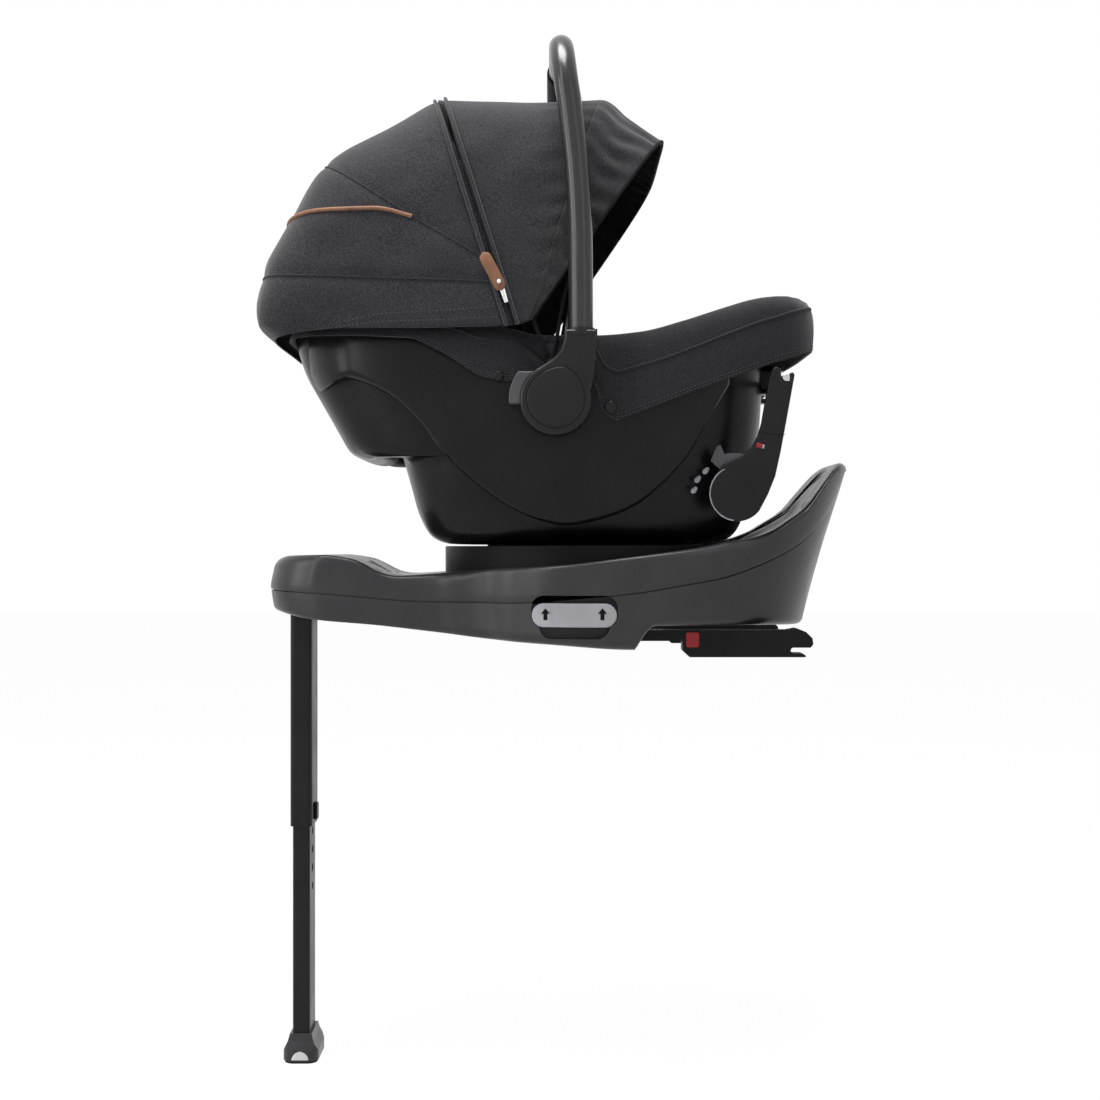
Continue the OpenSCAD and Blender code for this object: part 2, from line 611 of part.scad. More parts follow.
recline_x = 155;
recline_z = 669;
arm_in_y = bucket_half_w + 0.8;
arm_thick = 11;
recline_shaft_r = 8;
notch_x = 209;
notch_z = 797;
notch_r = 4;
bar_lift = 12;
guide_z0 = notch_z - 10;
module recline_arms() color("#2b2c2f") place() both() {
    slab(arm_in_y, arm_in_y + arm_thick) difference() {
        union() {
            translate([recline_x, recline_z]) circle(r = recline_r);
            polygon([[138, 695], [162, 706], [176, 728], [180, 746], [191, 798], [194, 806], [203, 808], [203.5, 801],
                [notch_x - notch_r - fit, notch_z], [notch_x + notch_r + fit, notch_z], [214, 803],
                [218, 801], [216, 780], [206, 741], [200, 704], [191, 676], [184, 656], [160, 640]]);
            // pointer and its wedge
            polygon([[126, 703], [133, 722], [138, 724], [141, 708], [162, 712], [164, 700], [140, 690]]);
        }
        translate([notch_x, notch_z]) circle(r = notch_r + fit);
        translate([notch_x - notch_r - fit, notch_z]) square([2 * (notch_r + fit), 30]);
    }
    cross_pin(recline_x, recline_z, recline_shaft_r, 112, arm_in_y + eps);
}
module recline_bar() color("#b4b6b8") place()
    cross_pin(notch_x, notch_z, notch_r, -arm_in_y - arm_thick, arm_in_y + arm_thick);

// ---- soft parts of the seat ---------------------------------------------

liner_foot = 60;
liner_top = head_reach - shell_wall - soft_gap;
liner_rear = [[635, liner_foot], [850, liner_top]];
liner_front = [[635, 60], [700, 150], [842, foot_reach - shell_wall - soft_gap]];
liner_side = bucket_half_w - shell_wall - soft_gap;
liner_width = [[635, 96], [700, 126], [800, liner_side], [850, liner_side]];
liner_bottom = 635;
function liner_ring(t, inset, bottom, drop) = [for (a = ring_angles)
    let (top = oblong(a, head_reach, foot_reach, bucket_half_w),
         z = bottom + (rim_at(top[0]) - drop - bottom) * t,
         k = z - inset * (1 - t),
         p = oblong(a, lookup(k, liner_rear) - inset, lookup(k, liner_front) - inset, lookup(k, liner_width) - inset))
    [p[0], p[1], z]];
module seat_liner() color("#2e2f33") place() difference() {
    loft(concat(
        [for (t = [0, 0.12, 0.4, 0.7, 1]) liner_ring(t, 0, liner_bottom, 1)],
        [for (t = [1, 0.7, 0.4, 0.12, 0]) liner_ring(t, liner_t, liner_bottom + liner_t, 1)]));
    at_harness_button() translate([0, 0, -harness_travel - 2]) linear_extrude(40)
        rounded_rect(30 + 2 * fit, 36 + 2 * fit, 8 + fit);
}

// Cover: a padded roll along the rim with a skirt outside the shell
cover_reach = 253;
hem_line = [[-350, 846], [-202, 838], [-163, 818], [-132, 797], [-99, 790], [-90, 822], [-2, 822], [4, 760],
    [21, 747], [65, 764], [149, 796], [193, 812], [227, 824], [cover_reach, 836]];
crest_z = [[-350, 858], [-100, 846], [-60, 838], [0, 838], [47, 842], [93, 854], [138, 869], [179, 882],
    [221, 888], [cover_reach, 887]];
skirt_t = 3.6;
// Extra points where the flaps step up over the hubs
cover_angles = around(concat([for (a = quarter(14)) if (a < 72) a], [74, 76.6, 78.8, 81.1, 85.5]),
    concat([for (a = quarter(14)) if (a < 72) a], [75.7, 81.1, 85.5]));
cover_out = [head_reach + skirt_t + soft_gap, cover_reach, cover_half_w];
cover_in = [head_reach - 26, foot_reach - 18, bucket_half_w - 14];
function cover_ring(size, inset, z_of) = [for (a = cover_angles)
    let (e = oblong(a, cover_out[0], cover_out[1], cover_out[2]),
         p = oblong(a, size[0] - inset, size[1] - inset, size[2] - inset))
    [p[0], p[1], z_of == 0 ? lookup(e[0], hem_line)
        : z_of == 1 ? lookup(p[0], crest_z) - 10
        : z_of == 2 ? lookup(p[0], crest_z)
        : max(rim_at(e[0]) + 2.6, lookup(e[0], hem_line) + 2)]];
module seat_cover() color("#26272a") place() ring_loft([
    cover_ring(cover_out, 0, 0), cover_ring(cover_out, 0, 1), cover_ring(cover_out, 7, 2),
    cover_ring(cover_in, -7, 2), cover_ring(cover_in, 0, 1), cover_ring(cover_in, 0, 3),
    cover_ring(cover_out, skirt_t, 3), cover_ring(cover_out, skirt_t, 0)]);

// The backrest slope: local -X runs up towards the head, local Z stands off it
back_x = -(liner_foot - liner_t);
back_z = liner_bottom + liner_t;
back_angle = atan2(rim_at(-head_reach) - 1 - back_z, liner_top - liner_foot);
module on_back() translate([back_x, 0, back_z]) rotate([0, back_angle, 0]) children();
insert_t = 16;
insert_z = 1.7;
module infant_insert() color("#3a3b40") place() on_back() difference() {
    translate([0, 0, insert_z]) linear_extrude(insert_t) translate([-76, 0]) rounded_rect(130, 116, 30);
    translate([-32.4, -14.4, 0]) cube([56, 28.8, 40]);
}
// Headrest board with side wings, and its pad
head_u = -232;
board_t = 5;
board_z = 4;
head_half = 71;
module head_rest() color("#1f2023") place() on_back() translate([head_u, 0, board_z]) {
    linear_extrude(board_t) translate([4, 0]) rounded_rect(112, 2 * head_half, 30);
    for (s = [-1, 1]) translate([-34, s > 0 ? head_half - 4 : -head_half, board_t - eps]) cube([68, 4, 40]);
}
module head_pad() color("#34353a") place() on_back() translate([head_u, 0, board_z + board_t + soft_gap]) {
    linear_extrude(14) translate([4, 0]) rounded_rect(106, 2 * (head_half - 4 - soft_gap), 20);
    for (s = [-1, 1]) translate([-32, s > 0 ? head_half - 26 : -head_half + 4 + soft_gap, 14 - eps])
        cube([64, 22 - soft_gap, 26]);
}
strap_y = 46;
belt_z = insert_z + insert_t + soft_gap;
module shoulder_straps() color("#141416") place() on_back() for (s = [-1, 1])
    translate([-164, s * strap_y - strap_w / 2, belt_z]) cube([128, strap_w, strap_t]);
module shoulder_pads() color("#2b2c30") place() on_back() for (s = [-1, 1])
    translate([-110, s * strap_y, belt_z + strap_t + 0.3]) linear_extrude(9) rounded_rect(104, strap_w + 12, 14);
buckle_u = -14;
buckle_z = belt_z + 6;
buckle_travel = 3;
tongue_z = belt_z + strap_t + 3.6;
module tongue_pair(grow) for (s = [-1, 1])
    translate([-47.4 - grow, (s > 0 ? 3 : -63) - grow, tongue_z - grow]) cube([14 + 2 * grow, 60 + 2 * grow, 2 + 2 * grow]);
module buckle() color("#17181a") place() on_back() difference() {
    translate([buckle_u, 0, buckle_z]) linear_extrude(18) rounded_rect(62, 46, 14);
    translate([buckle_u, 0, buckle_z + 8]) linear_extrude(20) rounded_rect(22 + 2 * fit, 26 + 2 * fit, 5);
    tongue_pair(fit);
}
module buckle_button() color("#b3262a") place() on_back()
    translate([buckle_u, 0, buckle_z + 8 + buckle_travel + fit]) linear_extrude(8) rounded_rect(22, 26, 4.7);
module buckle_tongues() color("#222326") place() on_back() tongue_pair(0);
module crotch_pad() color("#2b2c30") place() difference() {
    on_back()
    translate([-6, 0, 2]) linear_extrude(buckle_z - fit - 2) rounded_rect(52, 28, 8);
    translate([-100, -30, back_z + soft_gap - 40]) cube([120, 60, 40]);
}

// Lap straps run from under the tongues to the sides of the liner
lap_y0 = 55;
lap_y1 = 90;
module lap_straps() color("#141416") place() on_back() for (s = [-1, 1])
    translate([-57.4, s > 0 ? lap_y0 : -lap_y1, tongue_z - fit - strap_t]) cube([strap_w - 4, lap_y1 - lap_y0, strap_t]);

// Harness release button in a bezel at the foot end of the seat
module at_harness_button() translate([152, 0, 722]) rotate([0, -72, 0]) children();
module harness_button() color("#303135") place()
    at_harness_button() linear_extrude(16) rounded_rect(30, 36, 8);
harness_travel = 4;

// Press studs that hold the cover
snap_r = 5.5;
module cover_snaps() color("#0f0f10") place() both() {
    cross_pin(-108, 796, snap_r, cover_half_w + 0.2, cover_half_w + 3);
    cross_pin(14, 762, snap_r + 1, cover_half_w + 0.2, cover_half_w + 3);
}

// ---- handle -------------------------------------------------------------

sleeve_x = -19;
sleeve_z = 842;
bend_r = 62;
crossbar_x = -40;
crossbar_z = handle_z + sqrt(handle_reach * handle_reach - (crossbar_x + handle_x) * (crossbar_x + handle_x));
// Fore-and-aft position of the tube at each height
function lean(z) = lookup(z, [[sleeve_z, sleeve_x], [934, sleeve_x - 0.5], [1010, sleeve_x - 4],
    [1070, sleeve_x - 10], [1120, sleeve_x - 17], [crossbar_z, crossbar_x]]);
// Right half of the tube's centre line, from the sleeve to the middle
handle_path = concat(
    [for (z = [sleeve_z - 20, sleeve_z, 934, 1010, crossbar_z - bend_r - 20]) [lean(z), -handle_leg_y, z]],
    [for (t = [0:15:90]) let (z = crossbar_z - bend_r + bend_r * sin(t))
        [lean(z), -handle_leg_y + bend_r - bend_r * cos(t), z]],
    [[crossbar_x, -90, crossbar_z], [crossbar_x, 0, crossbar_z]]);
full_path = concat(handle_path, [for (i = [len(handle_path) - 2:-1:0])
    [handle_path[i][0], -handle_path[i][1], handle_path[i][2]]]);
function unit(v) = v / norm(v);
// Rings of a round tube along points in a roughly vertical plane
function tube_rings(path, rx, ry, n) = [for (i = [0:len(path) - 1])
    let (t = unit(path[min(i + 1, len(path) - 1)] - path[max(i - 1, 0)]), side_v = unit(cross([1, 0, 0], t)),
         x_v = cross(t, side_v))
    [for (k = [0:n - 1]) path[i] + x_v * rx * cos(360 * k / n) + side_v * ry * sin(360 * k / n)]];
module handle_tube() color("#2d2e31") place()
    loft(tube_rings(full_path, handle_d / 2, handle_d / 2 - 1, 20));

// Soft grip let into the head side of the crossbar
grip_len = 120;
module handle_grip() color("#111112") place() difference() {
    intersection() {
        translate([crossbar_x, 0, crossbar_z]) rotate([90, 0, 0]) cylinder(r = handle_d / 2 + 2, h = grip_len, center = true);
        translate([crossbar_x - 40, -100, crossbar_z - 40]) cube([36, 200, 80]);
    }
    translate([crossbar_x, 0, crossbar_z]) rotate([90, 0, 0]) cylinder(r = handle_d / 2 + 0.1, h = 300, center = true);
}

hub_y0 = mount_y1 + 1;
hub_y1 = handle_leg_y + handle_d / 2 + 1;
cap_r = 31;
cap_t = 2;
neck_w = 18;
neck_r = sleeve_x - neck_w + handle_x + 26;
module handle_hub(s) color("#232427") place() side(s) difference() {
    union() {
        cross_pin(-handle_x, handle_z, hub_r, hub_y0, hub_y1);
        slab(hub_y0, hub_y1) polygon(concat(
            [for (t = [-90:15:0]) [-handle_x - 26, sleeve_z - 8] + neck_r * [cos(t), sin(t)]],
            [[sleeve_x - neck_w, sleeve_z], [sleeve_x + neck_w, sleeve_z], [sleeve_x + neck_w - 1, handle_z + 30],
                [-handle_x + hub_r - 1, handle_z - 4], [-handle_x, handle_z - 20]]));
    }
    cross_pin(-handle_x, handle_z, hub_shaft_r + turn_gap, 0, handle_leg_y + 8 + fit);
    // socket of the tube
    translate([sleeve_x, -handle_leg_y, sleeve_z - 20.3]) cylinder(r = handle_d / 2 + 0.2, h = 60);
    slab(hub_y1 - cap_t, hub_y1 + 10) translate([-handle_x, handle_z]) circle(r = cap_r + 0.1);
    // slot of the release button
    slab(hub_y0 + 5, hub_y1 - 6) button_shape(fit);
}
module button_shape(grow) difference() {
    intersection() {
        translate([-handle_x, handle_z]) circle(r = hub_r + 11 + grow);
        translate([-handle_x - 60, handle_z - 4 - grow]) square([38 + 20 * (grow > 0 ? 1 : 0), 34 + 2 * grow]);
    }
    translate([-handle_x, handle_z]) circle(r = hub_r - 10 - grow);
}
hbutton_travel = 4;
module handle_button(s) color("#55575b") place() side(s)
    slab(hub_y0 + 5 + fit, hub_y1 - 6 - fit) difference() {
        button_shape(0);
        translate([-handle_x, handle_z]) circle(r = hub_r - 10 + hbutton_travel + fit);
    }
module hub_cap(s) color("#2a2b2e") place() side(s)
    slab(hub_y1 - cap_t, hub_y1 + 0.5) translate([-handle_x, handle_z]) circle(r = cap_r);

// ---- canopy -------------------------------------------------------------

arch_n = 15;
arch_p = 0.36;
// Arch between a hem point and a crown point of the side view
function arch(hem, crown, half, inset) = [for (i = [0:arch_n]) let (a = 180 * i / arch_n,
    s = signed_pow(sin(a), arch_p), c = signed_pow(cos(a), arch_p),
    d = crown - hem, q = crown - inset * unit(d))
    [hem[0] + (q[0] - hem[0]) * s, -(half - inset) * c, hem[1] + (q[1] - hem[1]) * s]];
// Thin closed panel through a row of arches
module panel(stations) sheet_loft([for (st = stations)
    let (outer = arch(st[0], st[1], st[2], 0), inner = arch(st[0], st[1], st[2], fabric_t))
    concat(outer, [for (i = [arch_n:-1:0]) inner[i]])]);

hem_z = 847;
w = canopy_half_w;
// The hoops keep clear of the crossbar when the handle is shorter
rise = handle_reach / 394;
function up(z) = hem_z + (z - hem_z) * rise;
rib_a = [[-102, hem_z + 2], [-185, up(1112)], w];
rib_b = [[-86, hem_z + 4], [-168, up(1115.5)], w];
front_rib = [[-76, hem_z + 7], [5.5, up(1116)], w];
tip = [[-72, hem_z + 9], [77.5, up(1068)], w - 2];
module canopy_rear_panel() color("#26272b") place() panel([
    [[-302, hem_z], [-361, up(838)], 184], [[-296, hem_z], [-380, up(858)], 187], [[-286, hem_z], [-383, up(881)], 190],
    [[-272, hem_z], [-373, up(923)], 193], [[-252, hem_z], [-345, up(975)], 195], [[-228, hem_z], [-315, up(1030)], w],
    [[-190, hem_z], [-283, up(1058)], w], [[-146, hem_z + 1], [-241, up(1080)], w], [rib_a[0] - [0.4, 0], rib_a[1] - [0.4, 0], w]]);
module canopy_zip_panel() color("#202125") place() panel([rib_a, rib_b]);
module canopy_top_panel() color("#26272b") place() panel([
    [rib_b[0] + [0.4, 0], rib_b[1] + [0.4, 0], w], [[-83, hem_z + 5], [-116, up(1114)], w],
    [[-79, hem_z + 6], [-54, up(1113.5)], w], front_rib]);
module canopy_visor() color("#303136") place() panel([
    [front_rib[0] + [0.4, 0], front_rib[1] + [0.4, 0], w], [[-74, hem_z + 8], [37, up(1093.5)], w - 1], tip]);

// Flat bows that turn on the posts of the hub mounts
bow_w = 8;
bow_eye_r = 8;
module bow(crown, y) {
    pivot = [-canopy_x, canopy_z];
    r = norm(crown - pivot);
    d = unit(crown - pivot);
    tangent = [-d[1], d[0]];
    a0 = asin(pow((bow_pin_r + 1.5) / r, 1 / arch_p));
    loft([for (i = [0:24]) let (a = a0 + (180 - 2 * a0) * i / 24,
        s = signed_pow(sin(a), arch_p), c = signed_pow(cos(a), arch_p))
        [for (k = [[-bow_w / 2, 0.08], [bow_w / 2, 0.08], [bow_w / 2, 0.92], [-bow_w / 2, 0.92]])
            let (rr = (r - (1 - k[1]) * bow_t) * s, yy = -(y + k[1] * bow_t) * c)
            [pivot[0] + d[0] * rr + tangent[0] * k[0], yy, pivot[1] + d[1] * rr + tangent[1] * k[0]]]]);
}
module bow_piece(crown, y) {
    bow(crown, y);
    both() slab(y, y + bow_t) difference() {
        translate([-canopy_x, canopy_z]) circle(r = bow_eye_r);
        translate([-canopy_x, canopy_z]) circle(r = bow_pin_r + turn_gap);
    }
}
module canopy_bow_rear() color("#0f0f10") place() bow_piece([-313.8, up(1023)], bow_y[2]);
module canopy_bow_middle() color("#0f0f10") place() bow_piece([-174, up(1109.8)], bow_y[1]);
module canopy_bow_front() color("#0f0f10") place() bow_piece([3, up(1111.4)], bow_y[0]);

base_lower_shell();
base_upper_shell();
bearing_ring();
leg_hinge_pin();
release_plate(1);  // release_plate_left
release_plate(-1);  // release_plate_right
swivel_button();
base_screws();
anchor_arm(1);  // anchor_arm_left
anchor_arm(-1);  // anchor_arm_right
anchor_button(1);  // anchor_button_left
anchor_button(-1);  // anchor_button_right
anchor_pawl(1);  // anchor_pawl_left
anchor_pawl(-1);  // anchor_pawl_right
leg_upper_tube();
leg_button();
leg_lower_tube();
leg_foot();
foot_sole();
foot_window();
turntable();
table_hooks();
carrier_shell();
side_wing(1);  // side_wing_left
side_wing(-1);  // side_wing_right
latch_bars();
shell_screws();
hub_mount(1);  // hub_mount_left
hub_mount(-1);  // hub_mount_right
recline_arms();
recline_bar();
seat_liner();
seat_cover();
infant_insert();
head_rest();
head_pad();
shoulder_straps();
shoulder_pads();
lap_straps();
buckle();
buckle_button();
buckle_tongues();
crotch_pad();
harness_button();
cover_snaps();
handle_tube();
handle_grip();
handle_hub(1);  // handle_hub_left
handle_hub(-1);  // handle_hub_right
hub_cap(1);  // hub_cap_left
hub_cap(-1);  // hub_cap_right
handle_button(1);  // handle_button_left
handle_button(-1);  // handle_button_right
canopy_bow_rear();
canopy_bow_middle();
canopy_bow_front();
canopy_rear_panel();
canopy_zip_panel();
canopy_top_panel();
canopy_visor();
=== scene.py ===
import json
from math import pi, tau, sin, cos, sqrt, radians, exp

import bmesh
import bpy
from mathutils import Matrix, Vector, noise
from mathutils.bvhtree import BVHTree

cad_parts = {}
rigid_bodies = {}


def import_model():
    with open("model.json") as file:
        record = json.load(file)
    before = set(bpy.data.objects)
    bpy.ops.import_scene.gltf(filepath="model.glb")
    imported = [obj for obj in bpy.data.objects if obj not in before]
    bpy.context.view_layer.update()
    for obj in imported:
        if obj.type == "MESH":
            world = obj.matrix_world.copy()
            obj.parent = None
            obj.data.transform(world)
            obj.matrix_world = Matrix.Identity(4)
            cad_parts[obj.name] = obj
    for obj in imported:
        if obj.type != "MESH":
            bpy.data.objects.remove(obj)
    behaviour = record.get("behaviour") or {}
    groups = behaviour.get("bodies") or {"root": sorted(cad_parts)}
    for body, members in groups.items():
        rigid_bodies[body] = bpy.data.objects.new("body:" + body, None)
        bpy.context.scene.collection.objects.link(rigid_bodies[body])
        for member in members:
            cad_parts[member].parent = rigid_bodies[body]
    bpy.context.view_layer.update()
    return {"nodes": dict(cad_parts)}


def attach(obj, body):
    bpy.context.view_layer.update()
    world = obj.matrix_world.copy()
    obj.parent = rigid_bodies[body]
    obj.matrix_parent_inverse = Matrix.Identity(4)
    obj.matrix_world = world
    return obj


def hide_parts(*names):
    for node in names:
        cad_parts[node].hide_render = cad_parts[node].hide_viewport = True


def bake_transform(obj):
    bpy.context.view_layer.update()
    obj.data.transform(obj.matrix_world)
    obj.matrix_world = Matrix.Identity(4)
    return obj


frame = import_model()
NODES = frame["nodes"]
SIDES = (-1, 1)

bl_info = {
    "name": "Infant carrier on a swivel base",
    "version": (1, 0, 0),
    "blender": (4, 5, 0),
    "location": "View3D > Sidebar > Car seat",
    "description": "Makes the cloth, padding and mouldings of an infant carrier on a swivelling base",
    "category": "Add Mesh",
}

MM = 0.001
# the swivel axis ahead of the anchor bars, and the bars above the vehicle floor
BAR_REACH = 218
BAR_HEIGHT = 495
# stuffing: how far a pad starts inside its shape, its air pressure, the frames it swells for and the most it gains
SHRINK, PRESSURE, FRAMES, SWELL = 1.8, 4.0, 20, 3.5
# axes of the handle's hubs and of the recline arms, across the seat
HUB_AT = (-46, 767)
RECLINE_AT = (155, 669)


def spot(x, y, z):
    """Point from millimetres about the swivel axis on the vehicle floor."""
    return Vector(((x - BAR_REACH) * MM, y * MM, (z - BAR_HEIGHT) * MM))


# ---- curves ---------------------------------------------------------------

def smooth(table):
    """Soft function through a table of (x, y) points that doesn't overshoot."""
    xs, ys = zip(*table)
    last = len(xs) - 1
    slopes = [(ys[i + 1] - ys[i]) / (xs[i + 1] - xs[i]) for i in range(last)]
    bends = [slopes[0]]
    for before, after in zip(slopes, slopes[1:]):
        bends.append(0.0 if before * after <= 0 else 2 * before * after / (before + after))
    bends.append(slopes[-1])

    def value(x):
        x = min(max(x, xs[0]), xs[-1])
        i = next((k for k in range(last) if x <= xs[k + 1]), last - 1)
        step = xs[i + 1] - xs[i]
        t = (x - xs[i]) / step
        return ((2 * t - 3) * t * t + 1) * ys[i] + (3 - 2 * t) * t * t * ys[i + 1] + step * t * (
            (t - 1) ** 2 * bends[i] + t * (t - 1) * bends[i + 1])
    return value


def linear(table):
    """Straight-line function through a table of (x, y) points."""
    def value(x):
        if x <= table[0][0]:
            return table[0][1]
        for (x0, y0), (x1, y1) in zip(table, table[1:]):
            if x <= x1:
                return y0 + (y1 - y0) * (x - x0) / (x1 - x0)
        return table[-1][1]
    return value


def drawn(points, count, closed=False, soft=True):
    """Evenly spaced points along a curve through the given ones."""
    points = [Vector(p) for p in points]
    n = len(points)
    fine = []
    for i in range(n if closed else n - 1):
        a, b, c, d = (points[(i + k) % n] if closed else points[min(max(i + k, 0), n - 1)]
                      for k in (-1, 0, 1, 2))
        for k in range(12 if soft else 1):
            t = k / 12
            fine.append(b + (c - a) * t / 2 + (a * 2 - b * 5 + c * 4 - d) * t * t / 2
                        + (b * 3 - a - c * 3 + d) * t ** 3 / 2)
    fine.append(points[0] if closed else points[-1])
    reach = [0.0]
    for a, b in zip(fine, fine[1:]):
        reach.append(reach[-1] + (b - a).length)
    made, i = [], 0
    for k in range(count):
        want = reach[-1] * k / (count if closed else count - 1)
        while i < len(fine) - 2 and reach[i + 1] < want:
            i += 1
        span = reach[i + 1] - reach[i]
        made.append(fine[i].lerp(fine[i + 1], (want - reach[i]) / span if span else 0))
    return made


def spaced(points, pitch):
    """Points along a curve, about pitch millimetres apart."""
    length = sum((b - a).length for a, b in zip(points, points[1:]))
    return drawn(points, max(2, int(length / (pitch * MM))), soft=False)


def ring_reach(angle, power):
    """Reach of a ring with full corners: 1 along its axes, more between them."""
    return (abs(cos(angle)) ** power + abs(sin(angle)) ** power) ** (-1 / power)


def eased(value, start, length):
    """Soft step that rises from 0 at the start to 1 that length beyond it."""
    t = min(1, max(0, (value - start) / length))
    return t * t * (3 - 2 * t)


# ---- meshes ---------------------------------------------------------------

def skin(columns, rows, place, centre=None):
    """Grid of columns by rows faces whose corner (i, j) stands at place(i, j)."""
    bm = bmesh.new()
    bm.loops.layers.uv.new("UVMap")
    bmesh.ops.create_grid(bm, x_segments=columns, y_segments=rows, size=0.5, calc_uvs=True)
    for vert in bm.verts:
        vert.co = place(round((vert.co.x + 0.5) * columns), round((vert.co.y + 0.5) * rows))
    bmesh.ops.remove_doubles(bm, verts=bm.verts, dist=2e-6)
    bmesh.ops.recalc_face_normals(bm, faces=bm.faces)
    if centre is not None:
        turned = sum((f.calc_center_median() - centre).dot(f.normal) for f in bm.faces)
        if turned < 0:
            bmesh.ops.reverse_faces(bm, faces=bm.faces)
    return bm


def tube(path, radius, sides=10, flat=1.0, up=Vector((0, 0, 1))):
    """Round or flattened cord along a path, with closed ends."""
    thick = radius if callable(radius) else lambda t: radius
    last = len(path) - 1
    rings = []
    for i, point in enumerate(path):
        along = (path[min(i + 1, last)] - path[max(i - 1, 0)]).normalized()
        out = (up - along * up.dot(along))
        if out.length < 0.2:
            out = along.orthogonal()
        out.normalize()
        up = out
        rings.append((point, out, along.cross(out), thick(i / last) * MM))
    rings = [(rings[0][0],) + rings[0][1:3] + (0,)] + rings + [(rings[-1][0],) + rings[-1][1:3] + (0,)]

    def place(i, j):
        point, out, across, size = rings[j]
        turn = tau * i / sides
        return point + out * (size * flat * sin(turn)) + across * (size * cos(turn))
    return skin(sides, last + 2, place)


def bead(middle, half, rings, turn=0.0):
    """Oval bead with those half sizes in millimetres, turned about the Y axis by that many degrees."""
    bm = bmesh.new()
    bmesh.ops.create_uvsphere(bm, u_segments=20, v_segments=rings, radius=1.0,
                              matrix=Matrix.Translation(middle) @ Matrix.Rotation(radians(turn), 4, "Y")
                              @ Matrix.Diagonal((*(size * MM for size in half), 1)))
    return bm


def joined(parts):
    """One bmesh from several."""
    whole = bmesh.new()
    whole.loops.layers.uv.new("UVMap")
    for part in parts:
        mesh = bpy.data.meshes.new("part")
        part.to_mesh(mesh)
        part.free()
        whole.from_mesh(mesh)
        bpy.data.meshes.remove(mesh)
    return whole


def mirrored(bm):
    """The mesh and its reflection on the other side of the seat."""
    other = bm.copy()
    bmesh.ops.scale(other, vec=(1, -1, 1), verts=other.verts)
    bmesh.ops.reverse_faces(other, faces=other.faces)
    return joined([bm, other])


def piece(name, bm, finish, body=None, stands_for=None, slot=None, smooth_angle=40):
    """Object made from a bmesh, with its finish, its body and the node it stands for."""
    mesh = bpy.data.meshes.new(name)
    bm.to_mesh(mesh)
    bm.free()
    mesh.shade_smooth()
    mesh.set_sharp_from_angle(angle=radians(smooth_angle))
    made = bpy.data.objects.new(name, mesh)
    bpy.context.collection.objects.link(made)
    mesh.materials.append(finish)
    if body:
        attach(made, body)
    if stands_for:
        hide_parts(stands_for)
    return made


def thicken(made, thickness):
    """Gives a sheet its thickness, in millimetres, with a closed rim."""
    wall = made.modifiers.new("Thickness", "SOLIDIFY")
    wall.thickness = thickness * MM
    wall.offset = -1.0


def subdivided(made):
    """Smooths an object's mesh by one level."""
    soft = made.modifiers.new("Softness", "SUBSURF")
    soft.levels = soft.render_levels = 1
    return made


def copy_of(node):
    """Merged copy of a node's mesh as a bmesh."""
    bm = bmesh.new()
    bm.from_mesh(NODES[node].data)
    bmesh.ops.remove_doubles(bm, verts=bm.verts, dist=2e-6)
    return bm


def body_of(node):
    """Name of the body that a node rides on."""
    return NODES[node].parent.name.split(":", 1)[1]


def settled(made):
    """Applies every modifier of an object to its mesh."""
    graph = bpy.context.evaluated_depsgraph_get()
    graph.update()
    mesh = bpy.data.meshes.new_from_object(made.evaluated_get(graph))
    old = made.data
    made.modifiers.clear()
    made.data = mesh
    bpy.data.meshes.remove(old)
    mesh.name = made.name


def dressed(node, finish, edge, slot):
    """Rigid moulding with its edges rounded, in place of its node."""
    bm = copy_of(node)
    bmesh.ops.dissolve_limit(bm, angle_limit=radians(1.2), verts=bm.verts, edges=bm.edges)
    made = piece(node + "_moulding", bm, finish, body_of(node), node, slot, 28)
    rounding = made.modifiers.new("Edges", "BEVEL")
    rounding.width = edge * MM
    rounding.segments = 2
    rounding.limit_method = "ANGLE"
    rounding.angle_limit = radians(32)
    rounding.harden_normals = True


def softened(node, finish, voxel, slot, name):
    """Organic moulding with its edges run together, in place of its node."""
    made = piece(name, copy_of(node), finish, None, node, slot, 180)
    remesh = made.modifiers.new("Voxels", "REMESH")
    remesh.mode = "VOXEL"
    remesh.voxel_size = voxel * MM
    remesh.use_smooth_shade = True
    melt = made.modifiers.new("Melt", "SMOOTH")
    melt.factor = 0.5
    melt.iterations = 6
    settled(made)
    made.data.shade_smooth()
    if not made.data.materials:
        made.data.materials.append(finish)
    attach(made, body_of(node))
    return made


def stuffed(node, finish, voxel, slot, name):
    """Padding blown up as cloth from a slightly smaller shape, in place of its node."""
    made = softened(node, finish, voxel, slot, name)
    start = [vert.co.copy() for vert in made.data.vertices]
    shrunk = [vert.co - vert.normal * SHRINK * MM for vert in made.data.vertices]
    for vert, place in zip(made.data.vertices, shrunk):
        vert.co = place
    air = made.modifiers.new("Stuffing", "CLOTH")
    air.settings.quality = 4
    air.settings.use_pressure = True
    air.settings.uniform_pressure_force = PRESSURE
    air.settings.effector_weights.gravity = 0
    air.collision_settings.use_collision = False
    for moment in range(1, FRAMES + 1):
        bpy.context.scene.frame_set(moment)
    settled(made)
    bpy.context.scene.frame_set(1)
    for vert, place in zip(made.data.vertices, start):
        move = vert.co - place
        if move.length > SWELL * MM:
            vert.co = place + move.normalized() * SWELL * MM
    made.data.shade_smooth()
    return subdivided(made)


# ---- finishes -------------------------------------------------------------

